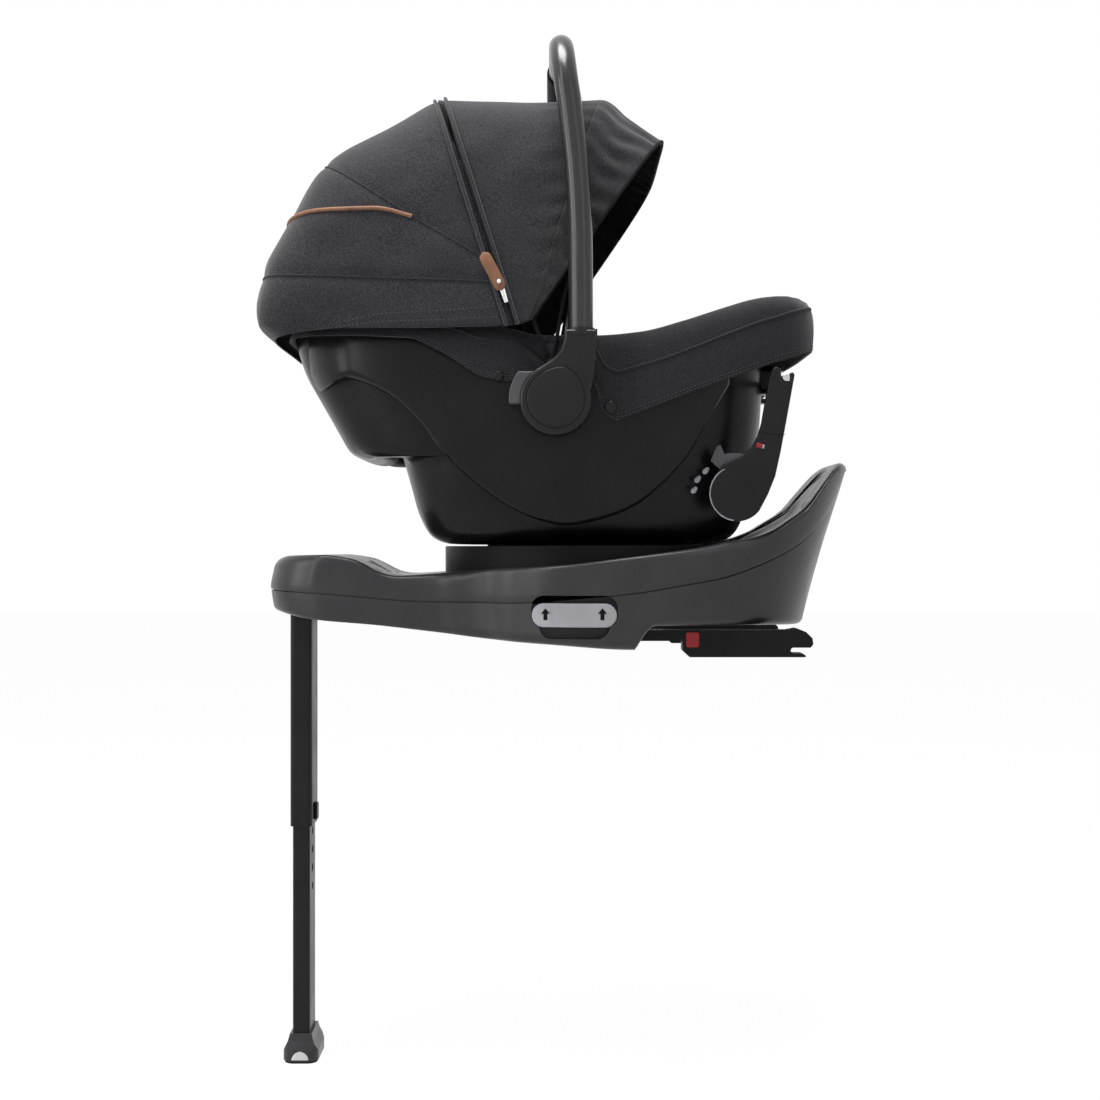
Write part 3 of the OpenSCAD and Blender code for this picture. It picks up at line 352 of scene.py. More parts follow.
class Wire:
    """A socket of a material's nodes; arithmetic on it adds Math nodes."""

    def __init__(self, finish, socket):
        self.finish, self.socket = finish, socket

    def math(self, operation, *values):
        return self.finish.node("ShaderNodeMath", {"operation": operation},
                                dict(enumerate(values)))

    def __add__(self, other):
        return self.math("ADD", self, other)

    def __mul__(self, other):
        return self.math("MULTIPLY", self, other)


class Finish:
    """A material and the short cuts that build its nodes."""

    def __init__(self, name, roughness, metallic=0.0, specular=0.5, sheen=0.0):
        self.material = bpy.data.materials.new(name)
        self.material.use_nodes = True
        self.tree = self.material.node_tree
        self.shader = self.tree.nodes["Principled BSDF"]
        for socket, value in (("Roughness", roughness), ("Metallic", metallic),
                              ("Specular IOR Level", specular), ("Sheen Weight", sheen),
                              ("Sheen Roughness", 0.4)):
            self.shader.inputs[socket].default_value = value

    def node(self, kind, settings=None, values=None, out=0):
        made = self.tree.nodes.new(kind)
        for name, value in (settings or {}).items():
            setattr(made, name, value)
        for name, value in (values or {}).items():
            self.set(made.inputs[name], value)
        return Wire(self, made.outputs[out])

    def set(self, socket, value):
        if isinstance(value, Wire):
            self.tree.links.new(value.socket, socket)
        else:
            socket.default_value = value

    def where(self):
        return self.node("ShaderNodeTexCoord", out="Object")

    def speckle(self, scale, detail=2.0, stretch=(1, 1, 1)):
        spread = self.node("ShaderNodeMapping", None, {"Vector": self.where(), "Scale": stretch})
        return self.node("ShaderNodeTexNoise", None, {"Vector": spread, "Scale": scale, "Detail": detail})

    def bands(self, way, scale, distortion, more=None):
        return self.node("ShaderNodeTexWave", {"wave_type": "BANDS", "bands_direction": way},
                         {"Vector": self.where(), "Scale": scale, "Distortion": distortion, **(more or {})})

    def dots(self, scale):
        return self.node("ShaderNodeTexVoronoi", None, {"Vector": self.where(), "Scale": scale})

    def level(self, value, low, high, start=0.0, end=1.0):
        return self.node("ShaderNodeMapRange", None, {
            "Value": value, "From Min": low, "From Max": high, "To Min": start, "To Max": end})

    def between(self, factor, dark, light):
        mix = self.tree.nodes.new("ShaderNodeMix")
        mix.data_type = "RGBA"
        for socket, value in ((0, factor), (6, (*dark, 1)), (7, (*light, 1))):
            self.set(mix.inputs[socket], value)
        return Wire(self, mix.outputs[2])

    def finish(self, colour, roughness=None, height=None, depth=0.1):
        """Links the colour, the roughness and a relief of that many millimetres."""
        self.set(self.shader.inputs["Base Color"], colour)
        if roughness is not None:
            self.set(self.shader.inputs["Roughness"], roughness)
        if height is not None:
            bump = self.node("ShaderNodeBump", None, {"Height": height, "Distance": depth * MM, "Strength": 1.0})
            self.set(self.shader.inputs["Normal"], bump)
        return self.material


def grey(level, blue=1.06):
    """Grey with a touch of blue."""
    return (level, level, level * blue)


def scaled(colour, share):
    """The colour made lighter or darker."""
    return tuple(c * share for c in colour)


def plastic(name, colour, roughness=0.42, grain=0.03, specular=0.3):
    """Moulded plastic with a fine grain and slightly uneven gloss."""
    f = Finish(name, roughness, specular=specular)
    fine = f.speckle(2600, 3)
    broad = f.speckle(22, 2)
    tint = tuple(min(1, c * 1.18 + 0.001) for c in colour)
    return f.finish(f.between(f.level(broad, 0.35, 0.65), colour, tint),
                    f.level(broad, 0.3, 0.7, roughness - 0.05, roughness + 0.05), fine, grain)


def cloth(name, dark, light, speck=620, weave=1100, depth=0.25, streak=1.0, share=(0.42, 0.66), sheen=0.25):
    """Woven melange cloth: pale fibres among dark ones over a fine crossing weave."""
    f = Finish(name, 0.9, specular=0.25, sheen=sheen)
    flecks = f.level(f.speckle(speck, 3, (1, 1, streak)), share[0], share[1])
    patches = f.level(f.speckle(18, 3), 0.3, 0.7, 0.9, 1.12)
    over, under = (f.bands(way, weave / 6, 3.0, {"Detail": 2.0, "Detail Scale": 2.0}) for way in ("DIAGONAL", "X"))
    thread = over * 0.5 + under * 0.5
    shade = f.between(flecks * patches, dark, light)
    return f.finish(shade, None, thread + f.speckle(speck * 1.5, 2) * 0.8, depth)


def leather(name, colour, roughness=0.55):
    """Soft leather with a pebbled grain."""
    f = Finish(name, roughness, specular=0.4)
    grain = f.dots(900.0)
    tone = f.level(f.speckle(120, 4), 0.3, 0.7)
    gloss = f.level(grain, 0, 0.6, roughness - 0.1, roughness + 0.1)
    return f.finish(f.between(tone, scaled(colour, 0.72), colour), gloss, grain, 0.12)


def webbing(name, colour):
    """Ribbed strap webbing."""
    f = Finish(name, 0.7, specular=0.3, sheen=0.2)
    ribs, cross = f.bands("Y", 170.0, 0.4), f.bands("X", 220.0, 0.4)
    return f.finish(f.between(ribs * cross, colour, scaled(colour, 2.0)), None, ribs * 0.6 + cross * 0.4, 0.3)


def metal(name, colour, roughness=0.28):
    """Lightly brushed metal."""
    f = Finish(name, roughness, 1.0)
    lines = f.speckle(300, 3, (1, 1, 12))
    gloss = f.level(lines, 0.3, 0.7, roughness - 0.08, roughness + 0.12)
    return f.finish(f.between(lines, scaled(colour, 0.8), colour), gloss, lines, 0.02)


def rubber(name, colour):
    """Dotted soft rubber."""
    f = Finish(name, 0.75, specular=0.3)
    dots = f.dots(420.0)
    gloss = f.level(f.speckle(60), 0.3, 0.7, 0.68, 0.85)
    return f.finish(f.between(dots, colour, scaled(colour, 1.6)), gloss, dots, 0.15)


class Finishes:
    """Every material of the seat, made once."""

    def __init__(self, tones):
        charcoal, tan = tuple(tones.charcoal), tuple(tones.tan)
        self.canopy = cloth("Canopy melange", scaled(charcoal, 0.55), scaled(charcoal, 1.55), share=(0.36, 0.66))
        self.visor = cloth("Visor heather", grey(0.020), grey(0.046), speck=820, streak=0.6,
                           share=(0.34, 0.68), depth=0.3)
        self.inside = cloth("Canopy lining", grey(0.003), grey(0.008), speck=500, sheen=0.0)
        self.cover = cloth("Cover weave", scaled(charcoal, 0.56), scaled(charcoal, 1.15), speck=760)
        self.liner = cloth("Liner knit", grey(0.014), grey(0.04), speck=480, weave=700, depth=0.5)
        self.insert = cloth("Insert knit", grey(0.025), grey(0.07), speck=420, weave=700, depth=0.5)
        self.piping = leather("Tan piping", tan)
        thread = Finish("Thread", 0.7)
        self.thread = thread.finish(thread.between(thread.speckle(900, 2), grey(0.02), grey(0.075)))
        self.webbing = webbing("Harness webbing", grey(0.012))
        self.base = plastic("Base plastic", tuple(tones.base), 0.31, specular=0.32)
        self.shell = plastic("Carrier plastic", tuple(tones.shell), 0.30, specular=0.17)
        self.table = plastic("Turntable plastic", grey(0.003), 0.4, specular=0.08)
        self.arm = plastic("Arm plastic", grey(0.005, 1.0), 0.38, specular=0.12)
        self.hub = plastic("Hub plastic", grey(0.007), 0.28, specular=0.24)
        self.handle = plastic("Handle plastic", grey(0.014), 0.24, specular=0.46)
        self.lever = plastic("Lever plastic", grey(0.008), 0.30, specular=0.18)
        self.button = plastic("Button plastic", grey(0.06), 0.36, specular=0.4)
        self.dark = plastic("Recess plastic", grey(0.003), 0.5, specular=0.1)
        self.snap = plastic("Gloss black", grey(0.005), 0.16, 0.0, specular=0.25)
        self.silver = plastic("Silver plastic", grey(0.33), 0.32, 0.02)
        self.red = plastic("Red plastic", (0.26, 0.014, 0.018), 0.3, 0.01)
        self.acetal = plastic("Acetal", grey(0.5), 0.4)
        self.steel = metal("Steel", grey(0.6, 1.02))
        self.chrome = metal("Chrome", grey(0.8, 1.0), 0.12)
        self.leg = plastic("Leg enamel", grey(0.010), 0.36, 0.0, specular=0.16)
        self.rubber = rubber("Rubber", grey(0.006))
        self.window = plastic("Window", grey(0.62, 1.0), 0.25, 0.0)


F = None


# ---- sizes and colours a user may change ----------------------------------

class CarSeatTones(bpy.types.PropertyGroup):
    charcoal: bpy.props.FloatVectorProperty(name="Charcoal cloth", description="Middle tone of the canopy's melange",
                                            default=(0.027, 0.027, 0.0315), subtype="COLOR", min=0, max=1)
    tan: bpy.props.FloatVectorProperty(name="Tan leather", description="Colour of the piping and the zip pull",
                                       default=(0.25, 0.115, 0.06), subtype="COLOR", min=0, max=1)
    base: bpy.props.FloatVectorProperty(name="Base plastic", description="Colour of the base's mouldings",
                                        default=(0.025, 0.025, 0.0265), subtype="COLOR", min=0, max=1)
    shell: bpy.props.FloatVectorProperty(name="Carrier plastic", description="Colour of the carrier's bucket and wings",
                                         default=(0.006, 0.006, 0.0065), subtype="COLOR", min=0, max=1)


class CarSeatSizes(bpy.types.PropertyGroup):
    gather: bpy.props.FloatProperty(name="Gathers", description="Height of the puckers along the visor",
                                    default=0.0022, unit="LENGTH", subtype="DISTANCE")
    crown: bpy.props.FloatProperty(name="Cover crown", description="How far the padded rim rises above its seams",
                                   default=0.005, unit="LENGTH", subtype="DISTANCE")
    stitch: bpy.props.FloatProperty(name="Stitch pitch", description="Distance from one stitch to the next",
                                    default=0.0045, unit="LENGTH", subtype="DISTANCE")


# ---- canopy ---------------------------------------------------------------

# hinge of the canopy's bows, fullness of its arch and half its width
PIVOT = (-50, 806)
ARCH = 5.556
HALF = 196.5
# stations from the back to the visor's edge: hem x and z, crown x and z, half width
STATIONS = [
    (-302, 847, -361, 838, 184), (-296, 847, -380, 858, 187), (-286, 847, -383, 881, 190),
    (-272, 847, -373, 923, 193), (-252, 847, -345, 975, 195), (-228, 847, -315, 1030, HALF),
    (-190, 847, -283, 1058, HALF), (-146, 848, -241, 1080, HALF), (-102, 849, -185, 1112, HALF),
    (-86, 851, -168, 1115.5, HALF), (-83, 852, -116, 1114, HALF), (-79, 853, -54, 1113.5, HALF),
    (-76, 854, 5.5, 1116, HALF), (-74, 855, 37, 1093.5, HALF - 1), (-72, 856, 77.5, 1068, HALF - 2)]
REAR, ZIP, TOP, VISOR = (0, 8), (8, 9), (9, 12), (12, 14)
TRACKS = [smooth(list(enumerate(column))) for column in zip(*STATIONS)]


def arch_point(turn, row):
    """Point of the bare canopy: turn runs 0 to 1 over the arch, row along the stations."""
    hem_x, hem_z, crown_x, crown_z, half = (track(row) for track in TRACKS)
    angle = pi * turn
    reach = ring_reach(angle, ARCH)
    rise = reach * sin(angle)
    return spot(hem_x + (crown_x - hem_x) * rise, -half * reach * cos(angle), hem_z + (crown_z - hem_z) * rise)


def outward(turn, row):
    """Outward direction of the canopy's cloth."""
    step = 0.004
    low, high = max(turn - step, 0), min(turn + step, 1)
    across = arch_point(high, row) - arch_point(low, row)
    along = arch_point(turn, min(row + 0.05, 14)) - arch_point(turn, max(row - 0.05, 0))
    out = along.cross(across)
    middle = spot(-120, 0, 900)
    here = arch_point(turn, row)
    if out.dot(here - middle) < 0:
        out = -out
    return out.normalized() if out.length > 1e-12 else (here - middle).normalized()


DIAGONAL = linear([(-380, 1085), (-316, 1043), (-243, 995), (-200, 968), (-127, 925), (-60, 880)])
LOW_SEAM = smooth([(-400, 911), (-381, 909), (-322, 905), (-240, 902), (-118, 897.6), (-60, 893)])
PIPING = smooth([(-400, 955), (-359, 964), (-342, 971), (-304, 976), (-242, 977), (-200, 968)])


def seam_dip(gap, width=7.0):
    """Depth of the valley that a seam pulls in the cloth, as a share."""
    return exp(-(gap / width) ** 2)


def canopy_point(turn, row, gather=0.0):
    """Point of the finished canopy, with seams drawn in, slack between bows and gathers."""
    here = arch_point(turn, row)
    x, z = millimetres(here)
    relief = 0.0
    if row < 8:
        side = 1 - 0.8 * seam_dip(abs(turn - 0.5), 0.1)
        relief -= 1.6 * seam_dip(z - DIAGONAL(x))
        if z < DIAGONAL(x):
            relief -= 1.3 * seam_dip(z - LOW_SEAM(x))
        relief += 1.6 * side * noise.noise(Vector((x / 46, z / 30, turn * 2)))
    elif row > 9:
        near = min(1.0, max(0.0, (row - 10.6) / 2.6))
        pleats = sin(turn * 250 + 2.6 * noise.noise(Vector((turn * 14, row * 0.8, 3)))) * (
            0.6 + 0.7 * noise.noise(Vector((turn * 30, row * 1.4, 8))))
        relief += gather / MM * near * pleats * min(1, 9 * min(turn, 1 - turn))
        relief += 1.3 * noise.noise(Vector((x / 40, z / 40, 5 * turn)))
    relief *= min(1, 14 * min(turn, 1 - turn))
    return here + outward(turn, row) * (relief * MM)


def millimetres(point):
    """Side-view coordinates of a point, about the swivel axis."""
    return point.x / MM + BAR_REACH, point.z / MM + BAR_HEIGHT


def contour(level, rows, condition):
    """Paths on the canopy where level(x, z) is nought and the condition holds, from hem to hem."""
    bm = bmesh.new()
    bmesh.ops.create_grid(bm, x_segments=160, y_segments=60, size=0.5)
    for vert in bm.verts:
        turn, row = vert.co.x + 0.5, rows[0] + (rows[1] - rows[0]) * (vert.co.y + 0.5)
        vert.co = (turn, row, level(*millimetres(arch_point(turn, row))))
    bmesh.ops.bisect_plane(bm, geom=bm.verts[:] + bm.edges[:] + bm.faces[:], dist=1e-7, plane_co=(0, 0, 0),
                           plane_no=(0, 0, 1), clear_inner=True, clear_outer=True)
    paths = []
    loose = set(bm.verts)
    while loose:
        ends = [v for v in loose if len(v.link_edges) == 1]
        vert = ends[0] if ends else next(iter(loose))
        chain = []
        while vert is not None:
            loose.discard(vert)
            here = canopy_point(vert.co.x, vert.co.y)
            if condition(*millimetres(here)):
                chain.append(here + outward(vert.co.x, vert.co.y) * 0.4 * MM)
            vert = next((e.other_vert(vert) for e in vert.link_edges if e.other_vert(vert) in loose), None)
        if len(chain) > 6:
            paths.append(chain)
    bm.free()
    return paths


def arc(row, lift=0.0, count=120):
    """Path over the canopy along one station."""
    turns = [k / count for k in range(count + 1)]
    return [canopy_point(t, row) + outward(t, row) * (lift * MM) for t in turns]


def aimed(a, b):
    """Matrix that stands at a point and turns the X axis towards another."""
    return Matrix.Translation(a) @ (b - a).normalized().to_track_quat("X", "Z").to_matrix().to_4x4()


def stitches(paths, pitch):
    """Row of short thread stitches along each path."""
    bm = bmesh.new()
    for path in paths:
        points = spaced(path, pitch / MM)
        for a, b in zip(points, points[1:]):
            bmesh.ops.create_icosphere(bm, subdivisions=1, radius=1.0, matrix=Matrix.Translation((b - a) / 2)
                                       @ aimed(a, b) @ Matrix.Diagonal((1.5 * MM, 0.42 * MM, 0.42 * MM, 1)))
    return bm


# name, stations, columns and lines of faces, cloth, body, flat width and length in metres, area in square metres
PANELS = (
    ("rear", REAR, 200, 84, "canopy", None, (0.86, 0.37), 0.216),
    ("zip", ZIP, 160, 5, "canopy", "canopy_middle", (0.86, 0.0185), None),
    ("top", TOP, 360, 40, "canopy", None, (0.86, 0.175), 0.102),
    ("visor", VISOR, 360, 24, "visor", "canopy_front", (0.86, 0.088), 0.053))
BACK_FOLD = {"start": spot(-305, 0, 929), "end": spot(-150, 0, 979)}
TOP_FOLD = {"start": spot(-140, 0, 1000), "end": spot(-20, 0, 1000)}


class CARSEAT_OT_canopy(bpy.types.Operator):
    """Sew the canopy's cloth panels with their seams, zip, leather piping and pull"""
    bl_idname = "carseat.canopy"
    bl_label = "Canopy"

    def execute(self, context):
        sizes = context.scene.car_seat_sizes
        sheets = {}
        for name, rows, columns, lines, kind, body, flat, area in PANELS:
            gather = sizes.gather if name in ("top", "visor") else 0.0
            bm = skin(columns, lines, lambda i, j: canopy_point(
                i / columns, rows[0] + (rows[1] - rows[0]) * j / lines, gather), spot(-120, 0, 900))
            node = "canopy_visor" if name == "visor" else "canopy_" + name + "_panel"
            made = piece("canopy_" + name + "_cloth", bm, getattr(F, kind), body, node, kind + "_fabric", 180)
            thicken(made, 1.6)
            made.data.materials.append(F.inside)
            made.modifiers["Thickness"].material_offset = 1
            sheets[name] = made
        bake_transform(sheets["rear"])
        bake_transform(sheets["top"])

        welts = joined([tube(path, 1.0, 8, 0.7) for path in
                        contour(lambda x, z: z - DIAGONAL(x), (0.2, 8), lambda x, z: x < -112)
                        + contour(lambda x, z: z - LOW_SEAM(x), (0.2, 8), lambda x, z: z < DIAGONAL(x) + 4)])
        self.sewn("canopy_welts", welts, F.cover)
        edge = [tube(path, 2.2, 10) for path in
                contour(lambda x, z: z - PIPING(x), (0.5, 8), lambda x, z: x < -200)]
        self.sewn("canopy_piping", joined(edge), F.piping)

        ribs = [tube(arc(row, lift=0.8), 3.5, 12, 0.62) for row in (8.12, 8.88)]
        piece("zip_ribs", joined(ribs), F.canopy, "canopy_middle", slot="canopy_fabric")
        teeth = arc(8.5, 1.0, 700)
        coil = bmesh.new()
        for a, b in zip(teeth, teeth[1:]):
            bmesh.ops.create_cube(coil, size=1.0, matrix=aimed(a, b)
                                  @ Matrix.Diagonal((0.55 * MM, 4.6 * MM, 1.1 * MM, 1)))
        piece("zip_coil", coil, F.snap, "canopy_middle", slot="canopy_fabric")
        self.pull()
        rim = tube(arc(13.97), 2.4, 10, 0.8)
        piece("visor_edge", rim, F.inside, "canopy_front", slot="visor_fabric")
        hem = [[arch_point(t, k / 10) + outward(t, k / 10) * 0.9 * MM for k in range(2, 80)] for t in (0.012, 0.026)]
        self.sewn("canopy_hem_stitches", mirrored(stitches(hem, sizes.stitch)), F.thread)
        return {"FINISHED"}

    @staticmethod
    def sewn(name, bm, finish):
        """Trim sewn to the rear panel."""
        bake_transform(piece(name, bm, finish, slot="canopy_fabric"))

    @staticmethod
    def pull():
        """Leather zip pull with its rivet and slider."""
        tree = BVHTree.FromObject(bpy.data.objects["canopy_zip_cloth"], bpy.context.evaluated_depsgraph_get())

        def on(x, z, lift):
            near = spot(x, -197, z)
            return Vector((near.x, tree.find_nearest(near)[0].y - lift * MM, near.z))

        def width(t):
            return 6.6 * min(1, sqrt(max(0.0, 1 - (abs(2 * t - 1) ** 8))) + 0.001)
        path = drawn([on(-125, 928, 5.5), on(-113, 906, 5.0), on(-103, 886, 4.2)], 14)
        strap = tube(path, width, 14, 0.24, Vector((0, -1, 0)))
        piece("zip_pull", strap, F.piping, "canopy_middle", slot="canopy_fabric")
        rivet = bead(on(-107, 896, 6.6), (2.4, 1.2, 2.4), 10)
        piece("zip_rivet", rivet, F.chrome, "canopy_middle", slot="steel")
        slider = tube(drawn([on(-104, 890, 2.6), on(-99, 874, 2.6)], 8), lambda t: 3.8 - 1.2 * t, 12, 0.6,
                      Vector((0, -1, 0)))
        piece("zip_slider", slider, F.chrome, "canopy_middle", slot="steel")


# ---- seat cover -----------------------------------------------------------

# fore-and-aft middle of the carrier's rings
MIDDLE = -60
HEM = [(-350, 846), (-202, 838), (-163, 818), (-132, 797), (-99, 790), (-92, 791), (-80, 798), (-12, 798),
       (-3, 792), (4, 760), (21, 747), (65, 764), (149, 796), (193, 812), (227, 824), (253, 836)]
COVER_CREST = [(-350, 858), (-100, 846), (-60, 838), (0, 838), (47, 842), (93, 854), (138, 869), (179, 882),
               (221, 888), (253, 887)]
RIM = [(-350, 850), (-250, 836), (-200, 821), (-165, 811.5), (-130, 804.5), (-90, 799), (-50, 796.5), (0, 797),
       (40, 802.5), (80, 812), (150, 828), (200, 842)]
# outer and inner edge of the cover: reach to the rear, to the front and half the width
COVER_OUT = (354, 253, 184)
COVER_IN = (324, 182, 134)


def oblong(angle, rear, front, half):
    """Point of a ring with full corners, about the middle of the carrier."""
    reach = ring_reach(angle, 4)
    way = reach * cos(angle)
    return Vector((MIDDLE + way * (front - MIDDLE if way > 0 else rear + MIDDLE), half * reach * sin(angle)))


COVER_TURNS = 360
SECTION = 26


class Cover:
    """Cross-sections of the padded cover along the carrier's rim."""

    def __init__(self, crown):
        self.crown = crown
        self.hem, self.crest, self.rim = linear(HEM), smooth(COVER_CREST), smooth(RIM)
        self.sections = [self.section(tau * k / COVER_TURNS) for k in range(COVER_TURNS)]

    def section(self, angle):
        """Closed section from the hem up over the padding and down inside the rim."""
        out = oblong(angle, *COVER_OUT)
        inward = oblong(angle, *COVER_IN) - out
        span = inward.length
        inward.normalize()
        x = out.x
        low = self.hem(x)
        under = max(self.rim(x) + 2.6, low + 2)
        puff = min(1.0, max(0.0, (self.crest(x) - low - 14) / 30))
        crown = self.crown

        def top(inset):
            return self.crest(x + inward.x * inset)
        outline = [(0, low), (-1.6 * puff, low * 0.6 + top(0) * 0.4), (-0.8 * puff, top(0) - 14), (2.0, top(2) - 5),
                   (9, top(9) + crown * 0.45), (span * 0.45, top(span * 0.45) + crown),
                   (span - 10, top(span - 10) + crown * 0.4), (span - 2, top(span) - 5), (span, top(span) - 12),
                   (span, under)]
        soft = drawn([(d, z, 0) for d, z in outline], SECTION - 2)
        closing = [Vector((3.6, under, 0)), Vector((3.2, low, 0))]
        return [spot(out.x + inward.x * p.x, out.y + inward.y * p.x, p.y) for p in soft + closing]

    def at(self, k, j):
        return self.sections[k % COVER_TURNS][j % SECTION]


class CARSEAT_OT_cover(bpy.types.Operator):
    """Make the padded cover round the carrier's rim, with its welt and stitched hem"""
    bl_idname = "carseat.cover"
    bl_label = "Seat cover"

    def execute(self, context):
        sizes = context.scene.car_seat_sizes
        cover = Cover(sizes.crown / MM)
        bm = skin(COVER_TURNS, SECTION, cover.at)
        made = piece("seat_cover_padding", bm, F.cover, "carrier", "seat_cover", "cover_fabric", 60)
        welt = [cover.at(k, 7) for k in range(COVER_TURNS + 1)]
        piece("cover_welt", tube(welt, 1.3, 8), F.cover, "carrier", slot="cover_fabric")
        hems = []
        for level in (0.10, 0.22):
            row = [cover.at(k, 0).lerp(cover.at(k, 4), level) for k in range(COVER_TURNS + 1)]
            middle = spot(MIDDLE, 0, 0).x
            hems.append([p + Vector((p.x - middle, p.y, 0)).normalized() * 0.5 * MM for p in row])
        piece("cover_stitches", stitches(hems, sizes.stitch), F.thread, "carrier", slot="cover_fabric")
        dressed("cover_snaps", F.snap, 1.2, "snap_plastic")
        return {"FINISHED"}


# ---- carrier --------------------------------------------------------------

REAR_LINE = linear([(613, 178), (618, 192), (626, 198), (658, 216), (706, 228), (714, 262), (722, 288),
                    (807, 336), (850, 350)])
# section of the bucket at the head: reach behind the middle and height, from the underside up round the grip
HEAD_LOW = [(150, 613), (172, 614), (186, 619), (196, 629), (206, 650), (213, 675)]
HEAD_HIGH = [(283, 718), (290, 726), (303, 749), (319, 777), (336, 807), (345, 832), (350, 850)]
GROOVE = HEAD_LOW + [(220, 700), (223.5, 712), (227, 722), (232, 729), (239, 732.5), (246, 732), (252, 728), (256, 721),
                     (259, 714.5), (263, 711.3), (268, 711.4), (274, 713.5)] + HEAD_HIGH
# the same section beside the grip
SCOOP = HEAD_LOW + [(220, 698), (224, 705), (229, 709.5), (235, 711), (242, 711.5), (249, 711.5), (254, 711.3),
                    (258, 711.2), (262, 711.2), (266, 711.3), (270, 712), (275, 713.8)] + HEAD_HIGH
FOOT_LINE = smooth([(613, 130), (620, 158), (640, 172), (700, 186), (760, 194), (850, 198)])
WIDTH_LINE = smooth([(613, 0.74), (616, 0.80), (626, 0.92), (660, 0.97), (700, 1), (850, 1)])
WING_LOW = [(-346, 842), (-338, 815), (-327, 794), (-313, 787.5), (-300, 790.5), (-285, 796), (-268, 796),
            (-229, 778), (-196, 748), (-175, 720), (-143, 687), (-99, 655), (-56, 637), (-18, 635), (43, 656),
            (94, 703), (121, 747), (146, 790)]
WING_TOP = [(-345, 850), (-300, 846.5), (-260, 843.5), (-202, 839.5), (-163, 820), (-132, 807), (-100, 801),
            (0, 796), (20, 786), (80, 799), (143, 805)]
WING_HALF = 178
WING_TUCK = smooth([(620, -13), (650, -9), (690, -4.5), (730, -1), (770, 0.5), (800, 0), (830, -2.5), (852, -6)])


def wing_y(x, z):
    """Half-width of the raised side wing at x, z."""
    grow = WING_TUCK(z) - 8 * eased(-x, 270, 60)
    rear = REAR_LINE(z) + 4 + grow
    reach = (262 + grow - MIDDLE) if x > MIDDLE else (rear + MIDDLE)
    share = min(0.999, abs(x - MIDDLE) / reach)
    return (WING_HALF + grow) * (1 - share ** 4) ** 0.25


def wing(side):
    """Lobed wing with a rounded lower edge."""
    columns = 260
    low = drawn([(x, z, 0) for x, z in WING_LOW], columns + 1)
    top = drawn([(x, z, 0) for x, z in WING_TOP], columns + 1)
    corner, turns = 7.0, 8
    face = (1.0, 0.94, 0.87, 0.8, 0.72, 0.64, 0.56, 0.48, 0.4, 0.32, 0.25, 0.18, 0.11)

    def place(i, j):
        a, b = low[i], top[i]
        span = (b - a).length
        deep = 11 + 23 * min(1.0, max(0.0, (-a.x - 160) / 80))
        if j < len(face):
            up, depth = max(face[j] * span, corner), 0
        elif j < len(face) + turns:
            t = pi / 2 * (j - len(face)) / (turns - 1)
            up, depth = corner * (1 - sin(t)), corner * (1 - cos(t))
        else:
            up, depth = span * max(0, j - len(face) - turns) / 3, deep
        p = a.lerp(b, min(1, up / span) if span else 0)
        end = min(1.0, min(i, columns - i) / 3)
        flush = sqrt(max(0.0, 1 - (1 - end) ** 2))
        return spot(p.x, side * max(20, wing_y(p.x, p.y) - depth * flush - (1 - flush) * 6), p.y)
    return skin(columns, len(face) + turns + 3, place, spot(MIDDLE, 0, 740))


BUCKET_COLUMNS = 264
BUCKET_ROWS = 72
BUCKET_HALF = 148
BUCKET_WALL = 4
# height above which the bucket is stretched to meet its rim
FLARE_Z = 730


class Bucket:
    """Sections of the carrier's bucket round its rim."""

    def __init__(self):
        self.rim = smooth(RIM)
        self.groove = drawn([(x, z, 0) for x, z in GROOVE], BUCKET_ROWS + 1)
        self.scoop = drawn([(x, z, 0) for x, z in SCOOP], BUCKET_ROWS + 1)

    def at(self, i, j):
        angle = tau * i / BUCKET_COLUMNS
        reach = ring_reach(angle, 4)
        along, across = reach * cos(angle), reach * sin(angle)
        inner = j > BUCKET_ROWS
        k = j if not inner else 2 * BUCKET_ROWS + 1 - j
        p = self.groove[k].lerp(self.scoop[k], eased(abs(across) * BUCKET_HALF, 88, 22))
        z = p.y
        top = self.rim(MIDDLE + along * (260 if along > 0 else 290))
        if z > FLARE_Z:
            z = FLARE_Z + (z - FLARE_Z) * (top - FLARE_Z) / (GROOVE[-1][1] - FLARE_Z)
        x = MIDDLE + (along * (FOOT_LINE(p.y) - MIDDLE) if along > 0 else along * (p.x + MIDDLE))
        y = across * BUCKET_HALF * WIDTH_LINE(p.y)
        if inner:
            share = 1 - BUCKET_WALL / sqrt((x - MIDDLE) ** 2 + y * y)
            lift = BUCKET_WALL * (1 - k / BUCKET_ROWS) ** 2
            x, y, z = MIDDLE + (x - MIDDLE) * share, y * share, z + lift
        return spot(x, y, z)


def rod(x, z, radius, y0, y1):
    """Cylinder across the seat."""
    bm = bmesh.new()
    bmesh.ops.create_cone(bm, cap_ends=True, segments=40, radius1=radius * MM, radius2=radius * MM,
                          depth=abs(y1 - y0) * MM,
                          matrix=Matrix.Translation(spot(x, (y0 + y1) / 2, z)) @ Matrix.Rotation(pi / 2, 4, "X"))
    return bm


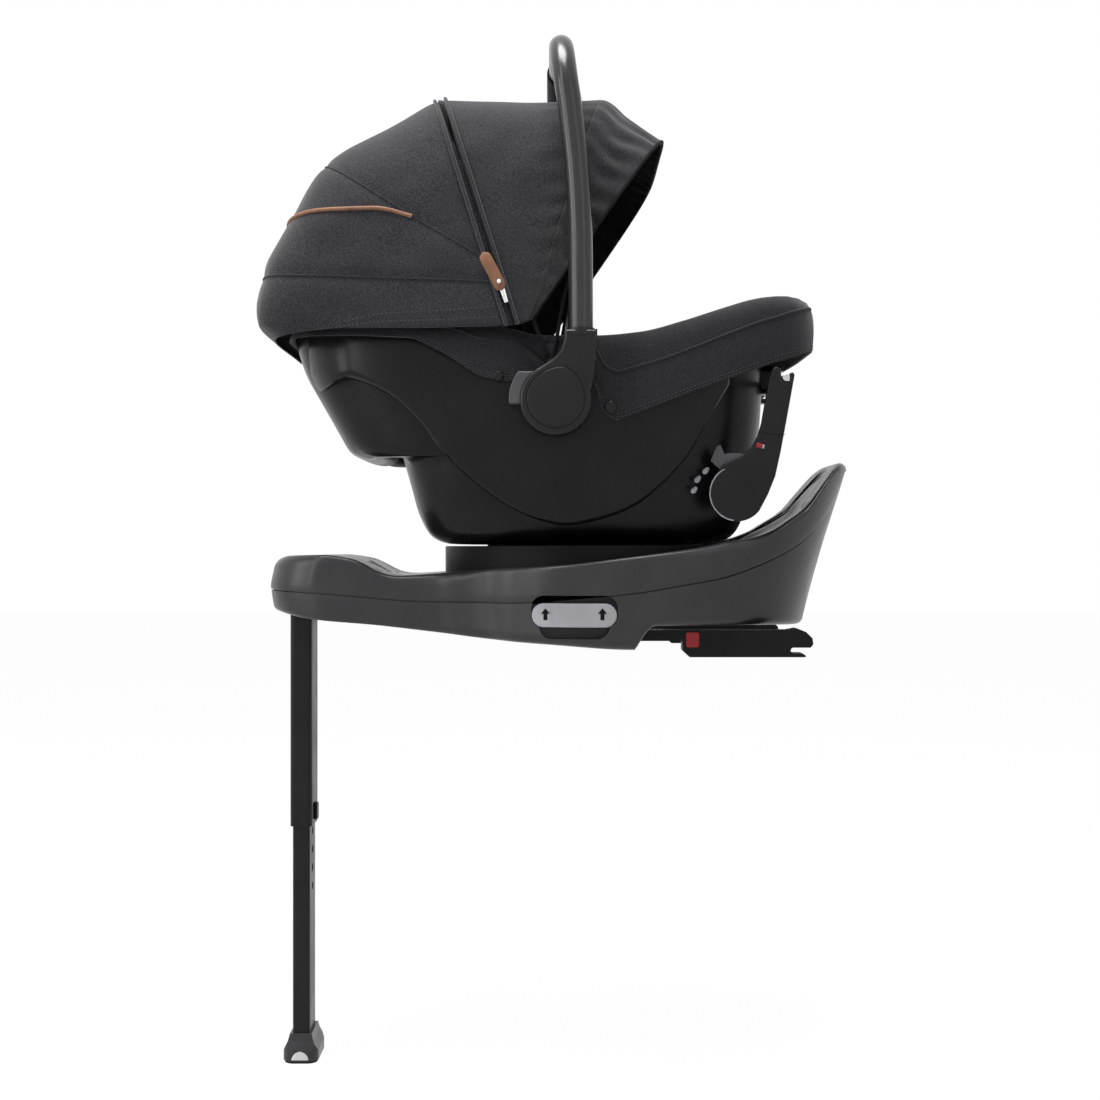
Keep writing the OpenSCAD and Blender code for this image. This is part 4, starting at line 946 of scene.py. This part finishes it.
def plate(outline, y0, y1, edge=1.2, segments=3):
    """Plate cut to an outline in the side view, between two widths, with rounded edges."""
    bm = bmesh.new()
    face = bm.faces.new([bm.verts.new(spot(x, y0, z)) for x, z in outline])
    out = bmesh.ops.extrude_face_region(bm, geom=[face])
    moved = [g for g in out["geom"] if isinstance(g, bmesh.types.BMVert)]
    bmesh.ops.translate(bm, vec=(0, (y1 - y0) * MM, 0), verts=moved)
    bmesh.ops.recalc_face_normals(bm, faces=bm.faces)
    if not edge:
        return bm
    rims = [e for e in bm.edges if len(e.link_faces) == 2 and len(e.link_faces[0].verts) != len(e.link_faces[1].verts)]
    bmesh.ops.bevel(bm, geom=rims, offset=edge * MM, offset_type="OFFSET", segments=segments, profile=0.5,
                    affect="EDGES", clamp_overlap=True, material=-1)
    return bm


def ring_points(x, z, radius, start, end, count):
    """Side-view points round a centre, from one angle to another in degrees."""
    turns = [radians(start + (end - start) * k / count) for k in range(count + 1)]
    return [(x + radius * cos(t), z + radius * sin(t)) for t in turns]


class CARSEAT_OT_carrier(bpy.types.Operator):
    """Mould the carrier's bucket, side wings and fittings"""
    bl_idname = "carseat.carrier"
    bl_label = "Carrier shell"

    def execute(self, context):
        for name, side in (("right", -1), ("left", 1)):
            piece("wing_moulding_" + name, wing(side), F.shell, "carrier", "side_wing_" + name, "shell_plastic", 35)
            dressed("hub_mount_" + name, F.hub, 0.8, "hub_plastic")
        bucket = Bucket()
        shell = [skin(BUCKET_COLUMNS, 2 * BUCKET_ROWS + 1, bucket.at)]
        for side in SIDES:
            shell.append(block((-124, side * 75 - 5, 598.4), (124, side * 75 + 5, 616)))
            shell.append(rod(*RECLINE_AT, 24, side * 96, side * 148.4))
        for y in (-70, 52):
            for reach, low, high in ((220, 787, 796.7 - 4), (220, 813.4, 823), (204.5, 790, 820)):
                shell.append(block((190.5, y, low), (reach, y + 18, high)))
        piece("carrier_moulding", joined(shell), F.shell, "carrier", "carrier_shell", "shell_plastic", 40)
        for node in ("latch_bars", "shell_screws", "recline_bar"):
            dressed(node, F.steel, 0.4, "steel")
        self.recline_arms()
        dressed("harness_button", F.lever, 1.0, "lever_plastic")
        return {"FINISHED"}

    @staticmethod
    def recline_arms():
        """Recline arms with their hubs, pointers, red marks, a silver arc painted as the highlight along each hub's
        left edge, and the pale steps on the bucket.
        """
        hub = ring_points(*RECLINE_AT, 31, 140, 322, 30)
        arm = hub + [(189, 668), (197, 688), (203, 715), (208, 742), (214, 775), (218.5, 800), (216.5, 803),
                     (213.6, 802), (213.5, 794), (209, 792.6), (204.5, 795), (203.5, 801), (203, 807), (198, 809),
                     (193.5, 806), (190.5, 797), (186, 770), (182, 747), (178, 733), (171, 720), (160, 710),
                     (146, 704), (138, 699)]
        tab = [(126, 705), (130, 716), (133, 722), (137, 723), (141, 713), (150, 714), (160, 713.5), (166, 711),
               (162, 702), (150, 697), (138, 694)]
        arms, tabs, rims, marks, pins, steps = [], [], [], [], [], []
        for side in SIDES:
            arms.append(plate(arm, side * 149.2, side * 159.4, 1.6, 4))
            tabs.append(plate(tab, side * 149.2, side * 154.5, 1.0, 2))
            # silver arc along the hub's left edge only: a painted highlight where the lamps catch that edge
            edge = [spot(x, side * 159.0, z) for x, z in ring_points(*RECLINE_AT, 30.2, 118, 262, 24)]
            rims.append(tube(edge, 0.7, 8))
            seam = [spot(178.5, side * 159.5, 738), spot(190, side * 159.6, 735), spot(207.5, side * 159.5, 734)]
            pins.append(tube(seam, 0.35, 6))
            marks.append(tube([spot(176, side * 158.6, 722.5), spot(182, side * 158.6, 721)], 2.9, 12))
            rims.append(tube([spot(182.4, side * 158.8, 720.9), spot(184.6, side * 158.8, 720.5)], 2.2, 12))
            arms.append(rod(*RECLINE_AT, 8, side * 112, side * 149.4))
            for x, z in ((121, 694.5), (112, 685), (108, 673)):
                middle = spot(x, side * 147.8, z)
                drop = bead(middle, (3.2, 1.0, 4.4), 12, 35)
                for vert in drop.verts:
                    vert.co.x += max(0.0, vert.co.z - middle.z) * 0.25
                steps.append(drop)
        piece("recline_arm_mouldings", joined(arms), F.lever, "recline", "recline_arms", "lever_plastic", 30)
        piece("recline_tabs", joined(tabs), F.button, "recline", slot="lever_plastic", smooth_angle=30)
        # silver arcs painted as the hubs' edge highlight, with the small silver dot beside each red mark
        piece("recline_rims", joined(rims), F.silver, "recline", slot="silver_plastic")
        piece("recline_seams", joined(pins), F.dark, "recline", slot="lever_plastic")
        piece("recline_marks", joined(marks), F.red, "recline", slot="red_plastic")
        piece("recline_steps", joined(steps), F.silver, "carrier", slot="silver_plastic")


class CARSEAT_OT_seat(bpy.types.Operator):
    """Soften the liner, stuff the insert and pads, round the head rest, and lay the harness"""
    bl_idname = "carseat.seat"
    bl_label = "Liner and harness"

    def execute(self, context):
        softened("seat_liner", F.liner, 4.0, "liner_fabric", "liner_padding")
        for node, finish, voxel, slot, name in (
                ("infant_insert", F.insert, 5.0, "insert_fabric", "insert_padding"),
                ("head_pad", F.liner, 4.0, "liner_fabric", "head_padding"),
                ("shoulder_pads", F.liner, 3.0, "liner_fabric", "shoulder_padding"),
                ("crotch_pad", F.liner, 3.0, "liner_fabric", "crotch_padding")):
            stuffed(node, finish, voxel, slot, name)
        dressed("head_rest", F.hub, 1.0, "hub_plastic")
        for node in ("shoulder_straps", "lap_straps"):
            dressed(node, F.webbing, 0.3, "webbing")
        dressed("buckle", F.hub, 1.0, "hub_plastic")
        dressed("buckle_button", F.red, 0.8, "red_plastic")
        dressed("buckle_tongues", F.steel, 0.4, "steel")
        return {"FINISHED"}


# ---- handle ---------------------------------------------------------------

# the handle: half the distance between its legs, its diameter, where it leaves the sleeves, its bends and crossbar
LEG_Y = 214
HANDLE_D = 27
SLEEVE_X = -19
SLEEVE_Z = 842
BEND = 62
CROSSBAR = (-40, 1161)
LEAN = smooth([(SLEEVE_Z, SLEEVE_X), (934, SLEEVE_X - 0.5), (1010, SLEEVE_X - 4), (1070, SLEEVE_X - 10),
               (1120, SLEEVE_X - 17), (CROSSBAR[1], CROSSBAR[0])])
HUB_IN, HUB_OUT = 199.5, 228.5
# name, crown and half width of each bow
BOWS = (("rear", (-313.8, 1023), 190.9), ("middle", (-174, 1109.8), 187.8), ("front", (3, 1111.4), 184.7))


class CARSEAT_OT_handle(bpy.types.Operator):
    """Bend the carry handle and mould its hubs, caps, buttons and grip"""
    bl_idname = "carseat.handle"
    bl_label = "Handle"

    def execute(self, context):
        leg = [(LEAN(z), -LEG_Y, z) for z in (SLEEVE_Z - 20, SLEEVE_Z, 900, 960, 1020, CROSSBAR[1] - BEND - 14)]
        start = CROSSBAR[1] - BEND
        turn = [(LEAN(start + BEND * sin(t)), -LEG_Y + BEND * (1 - cos(t)), start + BEND * sin(t))
                for t in map(radians, range(0, 91, 10))]
        half = leg + turn + [(CROSSBAR[0], -90, CROSSBAR[1]), (CROSSBAR[0], -30, CROSSBAR[1])]
        whole = [spot(*p) for p in half + [(x, -y, z) for x, y, z in reversed(half)]]
        bar = tube(drawn(whole, 180), HANDLE_D / 2 - 0.3, 28, 1.0, Vector((1, 0, 0)))
        piece("handle_bar", bar, F.handle, "handle", "handle_tube", "handle_plastic", 60)
        dressed("handle_grip", F.rubber, 1.0, "rubber")
        for name, side in (("right", -1), ("left", 1)):
            self.hub(name, side)
            dressed("handle_button_" + name, F.button, 1.2, "lever_plastic")
        for name, crown, y in BOWS:
            self.bow(name, crown, y)
        return {"FINISHED"}

    @staticmethod
    def hub(name, side):
        """Teardrop hub that runs up into the sleeve, and its cap in a groove."""
        teardrop = ring_points(*HUB_AT, 38.5, 116, 372, 40) + [
            (-5, 790), (-3, 806), (-1.5, 824), (-1.5, 842), (-37, 842), (-37.6, 830), (-41, 820), (-48, 811.5),
            (-56, 806)]
        shell = plate(teardrop, side * HUB_IN, side * HUB_OUT, 4.2, 5)
        made = piece("hub_moulding_" + name, shell, F.hub, None, "handle_hub_" + name, "handle_plastic", 40)

        def cap(gap):
            """Outline of the cap, drawn out a little towards the sleeve."""
            reach = [(radians(a), 30.5 + 4.5 * max(0.0, cos(radians(a - 70))) ** 6 + gap) for a in range(0, 360, 6)]
            return [(HUB_AT[0] + r * cos(a), HUB_AT[1] + r * sin(a)) for a, r in reach]
        groove = plate(cap(1.1), side * (HUB_OUT - 1.6), side * (HUB_OUT + 5), 0.1, 1)
        bore = rod(*HUB_AT, 12.35, side * (HUB_IN - 2), side * (HUB_OUT - 6))
        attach(cut(made, [groove, bore, CARSEAT_OT_handle.slot(side)]), "handle")
        face = plate(cap(0.0), side * (HUB_OUT - 1.5), side * (HUB_OUT + 0.5), 0.9, 3)
        piece("hub_cap_moulding_" + name, face, F.hub, body_of("hub_cap_" + name), "hub_cap_" + name, "hub_plastic", 30)
        collar = tube([spot(SLEEVE_X, side * LEG_Y, z) for z in (836, 840, 844)], lambda t: 15.4 - 0.6 * t * t, 40,
                      1.0, Vector((1, 0, 0)))
        piece("sleeve_collar_" + name, collar, F.hub, "handle", slot="handle_plastic")

    @staticmethod
    def slot(side):
        """Room for the release button in the hub."""
        outline = ring_points(*HUB_AT, 52, 141, 185, 16) + ring_points(*HUB_AT, 28, 185, 130, 16)
        return plate(outline, side * (HUB_IN + 4.6), side * (HUB_OUT - 5.6), 0.1, 1)

    @staticmethod
    def bow(name, crown, y):
        """Thin wire from one side post over the crown to the other."""
        d = Vector((crown[0] - PIVOT[0], crown[1] - PIVOT[1]))
        size = d.length
        d.normalize()
        path = []
        for k in range(121):
            t = radians(1.3 + 177.4 * k / 120)
            reach = ring_reach(t, ARCH)
            rise, across = (size - 1.3) * reach * sin(t), (y + 1.25) * reach * cos(t)
            path.append(spot(PIVOT[0] + d.x * rise, -across, PIVOT[1] + d.y * rise))
        node = "canopy_bow_" + name
        parts = [tube(path, 2.1, 12, 0.56, Vector((0, -1, 0)))]
        for side in SIDES:
            eye = [spot(x, side * (y + 1.25), z) for x, z in ring_points(*PIVOT, 6.3, 0, 360, 36)]
            parts.append(tube(eye, 1.8, 12, 0.65, Vector((0, 1, 0))))
        piece(node + "_wire", joined(parts), F.dark, body_of(node), node, "snap_plastic", 40)


# ---- base -----------------------------------------------------------------

SEAM = smooth([(-400, 563), (-300, 557), (-190, 549), (-100, 548.5), (-41, 552), (40, 559.5), (92, 568),
               (138, 576), (176, 588), (225, 610), (251, 629), (274, 657), (290, 690), (320, 760)])
CREST = smooth([(-400, 590), (-376, 595), (-350, 600), (-310, 601), (-278, 597), (-262, 591), (-246, 582),
                (-226, 577.5), (-180, 580), (-120, 585), (-52, 589), (45, 600), (123, 611), (150, 617),
                (174, 620.5), (198, 629), (216, 640), (239, 656), (252, 672), (264, 687), (276, 701), (285, 708),
                (300, 711)])
KEEL = smooth([(-400, 540), (-374, 536), (-330, 528), (-250, 521), (-190, 514), (-120, 506), (-50, 502),
               (42, 497), (50, 510), (66, 523), (160, 523), (310, 516)])
BOWL = linear([(575, 178), (590, 178), (600, 183), (612, 200), (622, 212), (636, 231), (650, 243.5),
               (662, 249.5), (681, 262), (712, 283), (740, 291)])
BACK_LEAN = smooth([(480, 0.81), (518, 0.855), (562, 0.895), (617, 0.95), (666, 1.005), (703, 1.043), (720, 1.05)])
FRONT_LEAN = smooth([(480, 0.97), (528, 0.985), (562, 1.0), (602, 0.982), (720, 0.98)])
BASE_COLUMNS = 320
# last row of the upper shell's wall, rounded crest, top, rounded rim and bowl, and its number of rows
WALL_END, CREST_END, TOP_END, RIM_END, BOWL_END, UPPER_ROWS = 8, 15, 24, 29, 42, 45
# last row of the lower shell's lid, wall and rounded keel, and its number of rows
LID_END, SIDE_END, KEEL_END, LOWER_ROWS = 3, 13, 18, 48
# height of the floor of the bowl and of the lid that closes the lower shell
BOWL_Z, LID_Z = 575, 562


def base_plan():
    """Plan of the base's widest outline, from the back round by the right side."""
    half = [(288 * cos(radians(t)) ** 0.87, 188 * sin(radians(t)) ** 0.87) for t in range(0, 90, 6)] + [(0, 188)]
    half += [(188 * cos(radians(t)), 188 * sin(radians(t))) for t in (105, 120, 132)] + [(-163, 129), (-200, 122)]
    half += [(-303 - 75 * sin(radians(t)), 47 + 75 * cos(radians(t))) for t in (0, 22.5, 45, 67.5, 90)]
    whole = [(x, -y, 0) for x, y in half] + [(x, y, 0) for x, y in reversed(half[1:])]
    return drawn(whole, BASE_COLUMNS, closed=True)


def leaned(plan, z):
    """Point of the outer wall above a point of the plan."""
    return plan.x * (BACK_LEAN if plan.x > 0 else FRONT_LEAN)(z), plan.y


def heading(plan, z):
    """Reach of the outer wall at a height, and its direction from the swivel axis."""
    x, y = leaned(plan, z)
    size = sqrt(x * x + y * y)
    return size, x / size, y / size


def within(plan, z, depth, height):
    """Point that far inside the outer wall at z, moved to another height."""
    x, y = leaned(plan, z)
    share = 1 - depth / sqrt(x * x + y * y)
    return spot(x * share, y * share, height)


def level_at(plan, line):
    """Height at which the outer wall crosses a side-view line."""
    low, high = 480.0, 760.0
    for _ in range(24):
        z = (low + high) / 2
        low, high = (z, high) if z < line(leaned(plan, z)[0]) else (low, z)
    return low


class BaseWall:
    """Heights of the seam, the crest and the keel along the base's outline."""

    def __init__(self):
        self.plan = base_plan()
        self.crest = [level_at(p, CREST) for p in self.plan]
        self.room = [max(3.0, heading(p, z)[0] - BOWL(z)) for p, z in zip(self.plan, self.crest)]
        self.round = [min(13.0, 0.55 * room) for room in self.room]
        self.seam = [min(level_at(p, SEAM), z - r - 1.5) for p, z, r in zip(self.plan, self.crest, self.round)]
        self.keel = [level_at(p, KEEL) for p in self.plan]

    def upper(self, k, j):
        """Section of the upper shell: wall, rounded crest, top, bowl and the flange inside."""
        k %= BASE_COLUMNS
        plan, crest, seam, r = self.plan[k], self.crest[k], self.seam[k], self.round[k]
        room = self.room[k]
        inner = min(5.0, room - r) if room - r > 1 else 1.0
        if j <= WALL_END:
            z = seam + (crest - r - seam) * j / WALL_END
            lip = 0.8 if j == 0 else 0.0
            return within(plan, z + lip, lip, z)
        if j > BOWL_END:
            z = min(570.0, seam - 4) if j == BOWL_END + 1 else seam + 0.2
            return within(plan, z, 4, z)
        size, way_x, way_y = heading(plan, crest - r)

        def at(reach, z):
            return spot(way_x * reach, way_y * reach, z)
        if j <= CREST_END:
            t = pi / 2 * (j - WALL_END) / (CREST_END - WALL_END)
            reach, drop = size - r * (1 - cos(t)), r * (1 - sin(t))
            return at(reach, CREST(way_x * reach) - drop)
        rim = self.rim(way_x, size - r, inner)
        if j <= TOP_END:
            reach = (size - r) + (rim + inner - (size - r)) * (j - CREST_END) / (TOP_END - CREST_END)
            return at(reach, CREST(way_x * reach))
        top = CREST(way_x * rim)
        if j <= RIM_END:
            t = pi / 2 * (j - TOP_END) / (RIM_END - TOP_END)
            return at(rim + inner * (1 - sin(t)), top - inner * (1 - cos(t)))
        z = top - inner + (BOWL_Z - top + inner) * (j - RIM_END) / (BOWL_END - RIM_END)
        return at(min(BOWL(z), rim), z)

    @staticmethod
    def rim(way_x, outer, inner):
        """Radius at which the top meets the bowl."""
        low, high = 170.0, max(outer - inner, 171.0)
        for _ in range(20):
            r = (low + high) / 2
            low, high = (r, high) if r < BOWL(CREST(way_x * r)) else (low, r)
        return low

    def lower(self, k, j):
        """Section of the lower shell: lid, wall, rounded keel and the underside."""
        k %= BASE_COLUMNS
        plan, seam, keel = self.plan[k], self.seam[k] - 0.9, self.keel[k]
        r, inset = 9.0, 1.0
        low = min(LID_Z, seam - 3)
        if j == 0:
            return spot(0, 0, LID_Z)
        if j <= LID_END:
            x, y = leaned(plan, low)
            return (spot(x * 0.5, y * 0.5, LID_Z), within(plan, low, 6, low),
                    within(plan, seam, 3, seam - 0.3))[j - 1]
        if j <= SIDE_END:
            z = seam - 0.6 + (keel + r - seam + 0.6) * (j - LID_END - 1) / (SIDE_END - LID_END - 1)
            return within(plan, z, inset, z)
        size, way_x, way_y = heading(plan, keel + r)
        if j <= KEEL_END:
            t = pi / 2 * (j - SIDE_END) / (KEEL_END - SIDE_END)
            reach, z = size - inset - r * (1 - cos(t)), keel + r * (1 - sin(t))
        else:
            reach = (size - inset - r) * (1 - (j - KEEL_END) / (LOWER_ROWS - KEEL_END))
            settle = min(1, (j - KEEL_END) / 3)
            z = KEEL(way_x * reach) * settle + keel * (1 - settle)
        return spot(way_x * reach, way_y * reach, z)


def cut(made, cutters):
    """Takes closed shapes out of a moulding."""
    mesh = bpy.data.meshes.new("cutter")
    whole = joined(cutters)
    whole.to_mesh(mesh)
    whole.free()
    tool = bpy.data.objects.new("cutter", mesh)
    bpy.context.collection.objects.link(tool)
    work = made.modifiers.new("Cut", "BOOLEAN")
    work.object = tool
    work.operation = "DIFFERENCE"
    work.solver = "EXACT"
    settled(made)
    bpy.data.objects.remove(tool)
    bpy.data.meshes.remove(mesh)
    made.data.shade_smooth()
    made.data.set_sharp_from_angle(angle=radians(35))
    return made


def block(low, high, turn=None):
    """Closed box between two corners given about the swivel axis."""
    bm = bmesh.new()
    a, b = spot(*low), spot(*high)
    bmesh.ops.create_cube(bm, size=1.0, matrix=Matrix.Translation((a + b) / 2) @ (turn or Matrix())
                          @ Matrix.Diagonal((*(b - a), 1)))
    return bm


# room for the release plate at rest and lifted, with a finger recess under it
PLATE_SLOT = (ring_points(8, 543, 13.6, 0, 90, 8) + ring_points(-59, 543, 13.6, 90, 180, 8)
              + ring_points(-59, 535, 13.6, 184, 232, 5) + ring_points(-50, 523, 14, 184, 270, 8)
              + ring_points(-1, 523, 14, 270, 356, 8) + ring_points(8, 535, 13.6, 308, 356, 5))
# how far from the middle of the seat that room ends
SLOT_FLOOR = 162


class CARSEAT_OT_base(bpy.types.Operator):
    """Mould the base, its turntable, anchor arms and load leg"""
    bl_idname = "carseat.base"
    bl_label = "Base"

    def execute(self, context):
        wall = BaseWall()

        def slots():
            return [plate(PLATE_SLOT, side * SLOT_FLOOR, side * 200, 0) for side in SIDES]
        bm = skin(BASE_COLUMNS, UPPER_ROWS, lambda i, j: wall.upper(i, j % UPPER_ROWS))
        upper = piece("base_upper_moulding", bm, F.base, None, "base_upper_shell", "base_plastic", 35)
        seat = block((-252 - 18, -26, 571), (-252 + 18, 26, 600), Matrix.Rotation(radians(30), 4, "Y"))
        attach(cut(upper, slots() + [seat]), "base")
        tunnels = [block((-81.5, side * 140 - 13.4, 505), (300, side * 140 + 13.4, 518)) for side in SIDES]
        channel = block((-362, -40, 440), (6, 40, 558))
        bm = skin(BASE_COLUMNS, LOWER_ROWS, wall.lower, spot(-60, 0, 540))
        lower = piece("base_lower_moulding", bm, F.base, None, "base_lower_shell", "base_plastic", 35)
        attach(cut(lower, slots() + tunnels + [channel]), "base")
        dressed("turntable", F.table, 0.8, "base_plastic")
        dressed("table_hooks", F.steel, 0.6, "steel")
        dressed("bearing_ring", F.acetal, 0.4, "acetal")
        dressed("swivel_button", F.silver, 1.0, "silver_plastic")
        for node in ("base_screws", "leg_hinge_pin"):
            dressed(node, F.steel, 0.4, "steel")
        for name in ("left", "right"):
            self.release_plate("release_plate_" + name)
            dressed("anchor_arm_" + name, F.arm, 1.2, "arm_plastic")
            dressed("anchor_button_" + name, F.red, 0.6, "red_plastic")
            dressed("anchor_pawl_" + name, F.steel, 0.4, "steel")
        dressed("leg_upper_tube", F.leg, 0.8, "leg_metal")
        dressed("leg_button", F.arm, 0.8, "arm_plastic")
        dressed("leg_lower_tube", F.leg, 0.6, "leg_metal")
        dressed("leg_foot", F.base, 1.5, "base_plastic")
        dressed("foot_sole", F.rubber, 0.8, "rubber")
        dressed("foot_window", F.window, 0.4, "silver_plastic")
        return {"FINISHED"}

    @staticmethod
    def release_plate(node):
        """Lifting plate with two plain arrows."""
        dressed(node, F.silver, 0.8, "silver_plastic")
        side = 1 if node.endswith("left") else -1
        face = max(side * vert.co.y for vert in NODES[node].data.vertices) / MM
        arrow = ((0, 7), (5, 1), (2.2, 1), (2.2, -6), (-2.2, -6), (-2.2, 1), (-5, 1))
        arrows = [plate([(x + dx, 536 + dz) for dx, dz in arrow], side * (face - 0.5), side * (face + 0.25), 0)
                  for x in (-57, 5)]
        piece(node + "_arrows", joined(arrows), F.dark, body_of(node), slot="silver_plastic")


# ---- stage ----------------------------------------------------------------

# name, place, target, width and height, power
LAMPS = (("Key", (-2.05, -1.8, 1.2), (-0.3, 0, 0.15), (0.34, 2.6), 17),
         ("Side", (-2.7, -1.0, 0.75), (-0.45, 0, 0.2), (0.7, 1.5), 15),
         ("Fill", (1.5, -2.5, 1.2), (-0.2, 0, 0.1), (0.9, 1.6), 4),
         ("Top", (-0.6, -0.5, 2.5), (-0.3, 0, 0.2), (1.5, 1.2), 100))


def area_light(name, place, target, size, power):
    """Soft rectangular lamp at a place, turned towards its target."""
    data = bpy.data.lights.new(name, "AREA")
    data.shape = "RECTANGLE"
    data.size, data.size_y = size
    data.energy = power
    lamp = bpy.data.objects.new(name, data)
    lamp.location = place
    lamp.rotation_euler = (Vector(target) - Vector(place)).to_track_quat("-Z", "Y").to_euler()
    bpy.context.collection.objects.link(lamp)


class CARSEAT_OT_stage(bpy.types.Operator):
    """Set the camera, the soft lamps, the world and the pale floor"""
    bl_idname = "carseat.stage"
    bl_label = "Stage"

    def execute(self, context):
        scene = context.scene
        scene.view_settings.view_transform = "Standard"
        data = bpy.data.cameras.new("Camera")
        data.lens = 54.545
        data.sensor_width = 36
        data.clip_end = 50
        camera = bpy.data.objects.new("Camera", data)
        camera.location = (-0.270, -2.0, 0.1114)
        camera.rotation_euler = (pi / 2, 0, 0)
        bpy.context.collection.objects.link(camera)
        scene.camera = camera
        for lamp in LAMPS:
            area_light(*lamp)
        world = bpy.data.worlds.new("Studio")
        scene.world = world
        world.use_nodes = True
        tree = world.node_tree
        background = tree.nodes["Background"]
        rays = tree.nodes.new("ShaderNodeLightPath")
        mix = tree.nodes.new("ShaderNodeMix")
        mix.inputs[2].default_value = 0.13
        mix.inputs[3].default_value = 1.0
        tree.links.new(self.seen(tree, rays), mix.inputs[0])
        background.inputs["Color"].default_value = (1, 1, 1, 1)
        tree.links.new(mix.outputs[0], background.inputs["Strength"])
        bm = bmesh.new()
        bmesh.ops.create_grid(bm, x_segments=2, y_segments=2, size=14)
        bmesh.ops.translate(bm, vec=(0, 0, -BAR_HEIGHT * MM), verts=bm.verts)
        floor = piece("floor", bm, self.floor_finish())
        return {"FINISHED"}

    @staticmethod
    def seen(tree, rays):
        """Nought where a ray lights the object, one where it shows the background."""
        total = rays.outputs["Is Camera Ray"]
        for other in ("Is Glossy Ray", "Is Transmission Ray"):
            both = tree.nodes.new("ShaderNodeMath")
            both.operation = "MAXIMUM"
            tree.links.new(total, both.inputs[0])
            tree.links.new(rays.outputs[other], both.inputs[1])
            total = both.outputs[0]
        return total

    def floor_finish(self):
        """Floor that takes light softly, but shows as pale as the background."""
        f = Finish("Pale floor", 0.9, specular=0.0)
        f.finish(f.between(f.speckle(3, 2), (0.86, 0.86, 0.86), (0.9, 0.9, 0.9)))
        glow = f.tree.nodes.new("ShaderNodeEmission")
        mix = f.tree.nodes.new("ShaderNodeMixShader")
        rays = f.tree.nodes.new("ShaderNodeLightPath")
        glow.inputs["Strength"].default_value = 1.045
        share = Wire(f, self.seen(f.tree, rays)) * 0.93
        f.set(mix.inputs[0], share)
        f.tree.links.new(f.shader.outputs[0], mix.inputs[1])
        f.tree.links.new(glow.outputs[0], mix.inputs[2])
        f.tree.links.new(mix.outputs[0], f.tree.nodes["Material Output"].inputs["Surface"])
        return f.material


# ---- add-on ---------------------------------------------------------------

STEPS = (CARSEAT_OT_stage, CARSEAT_OT_canopy, CARSEAT_OT_cover, CARSEAT_OT_carrier,
         CARSEAT_OT_seat, CARSEAT_OT_handle, CARSEAT_OT_base)


class CARSEAT_PT_parts(bpy.types.Panel):
    """Lists the seat's pieces and their sizes"""
    bl_idname = "CARSEAT_PT_parts"
    bl_label = "Car seat"
    bl_space_type = "VIEW_3D"
    bl_region_type = "UI"
    bl_category = "Car seat"

    def draw(self, context):
        for group in (context.scene.car_seat_tones, context.scene.car_seat_sizes):
            for name in group.__annotations__:
                self.layout.prop(group, name)
        for step in STEPS:
            self.layout.operator(step.bl_idname)


CLASSES = (CarSeatTones, CarSeatSizes) + STEPS + (CARSEAT_PT_parts,)


def register():
    for one in CLASSES:
        bpy.utils.register_class(one)
    bpy.types.Scene.car_seat_tones = bpy.props.PointerProperty(type=CarSeatTones)
    bpy.types.Scene.car_seat_sizes = bpy.props.PointerProperty(type=CarSeatSizes)


def unregister():
    del bpy.types.Scene.car_seat_sizes
    del bpy.types.Scene.car_seat_tones
    for one in reversed(CLASSES):
        bpy.utils.unregister_class(one)


def main():
    global F
    register()
    F = Finishes(bpy.context.scene.car_seat_tones)
    bpy.ops.carseat.stage()
    bpy.ops.carseat.canopy()
    bpy.ops.carseat.cover()
    bpy.ops.carseat.carrier()
    bpy.ops.carseat.seat()
    bpy.ops.carseat.handle()
    bpy.ops.carseat.base()


if __name__ == "__main__":
    main()
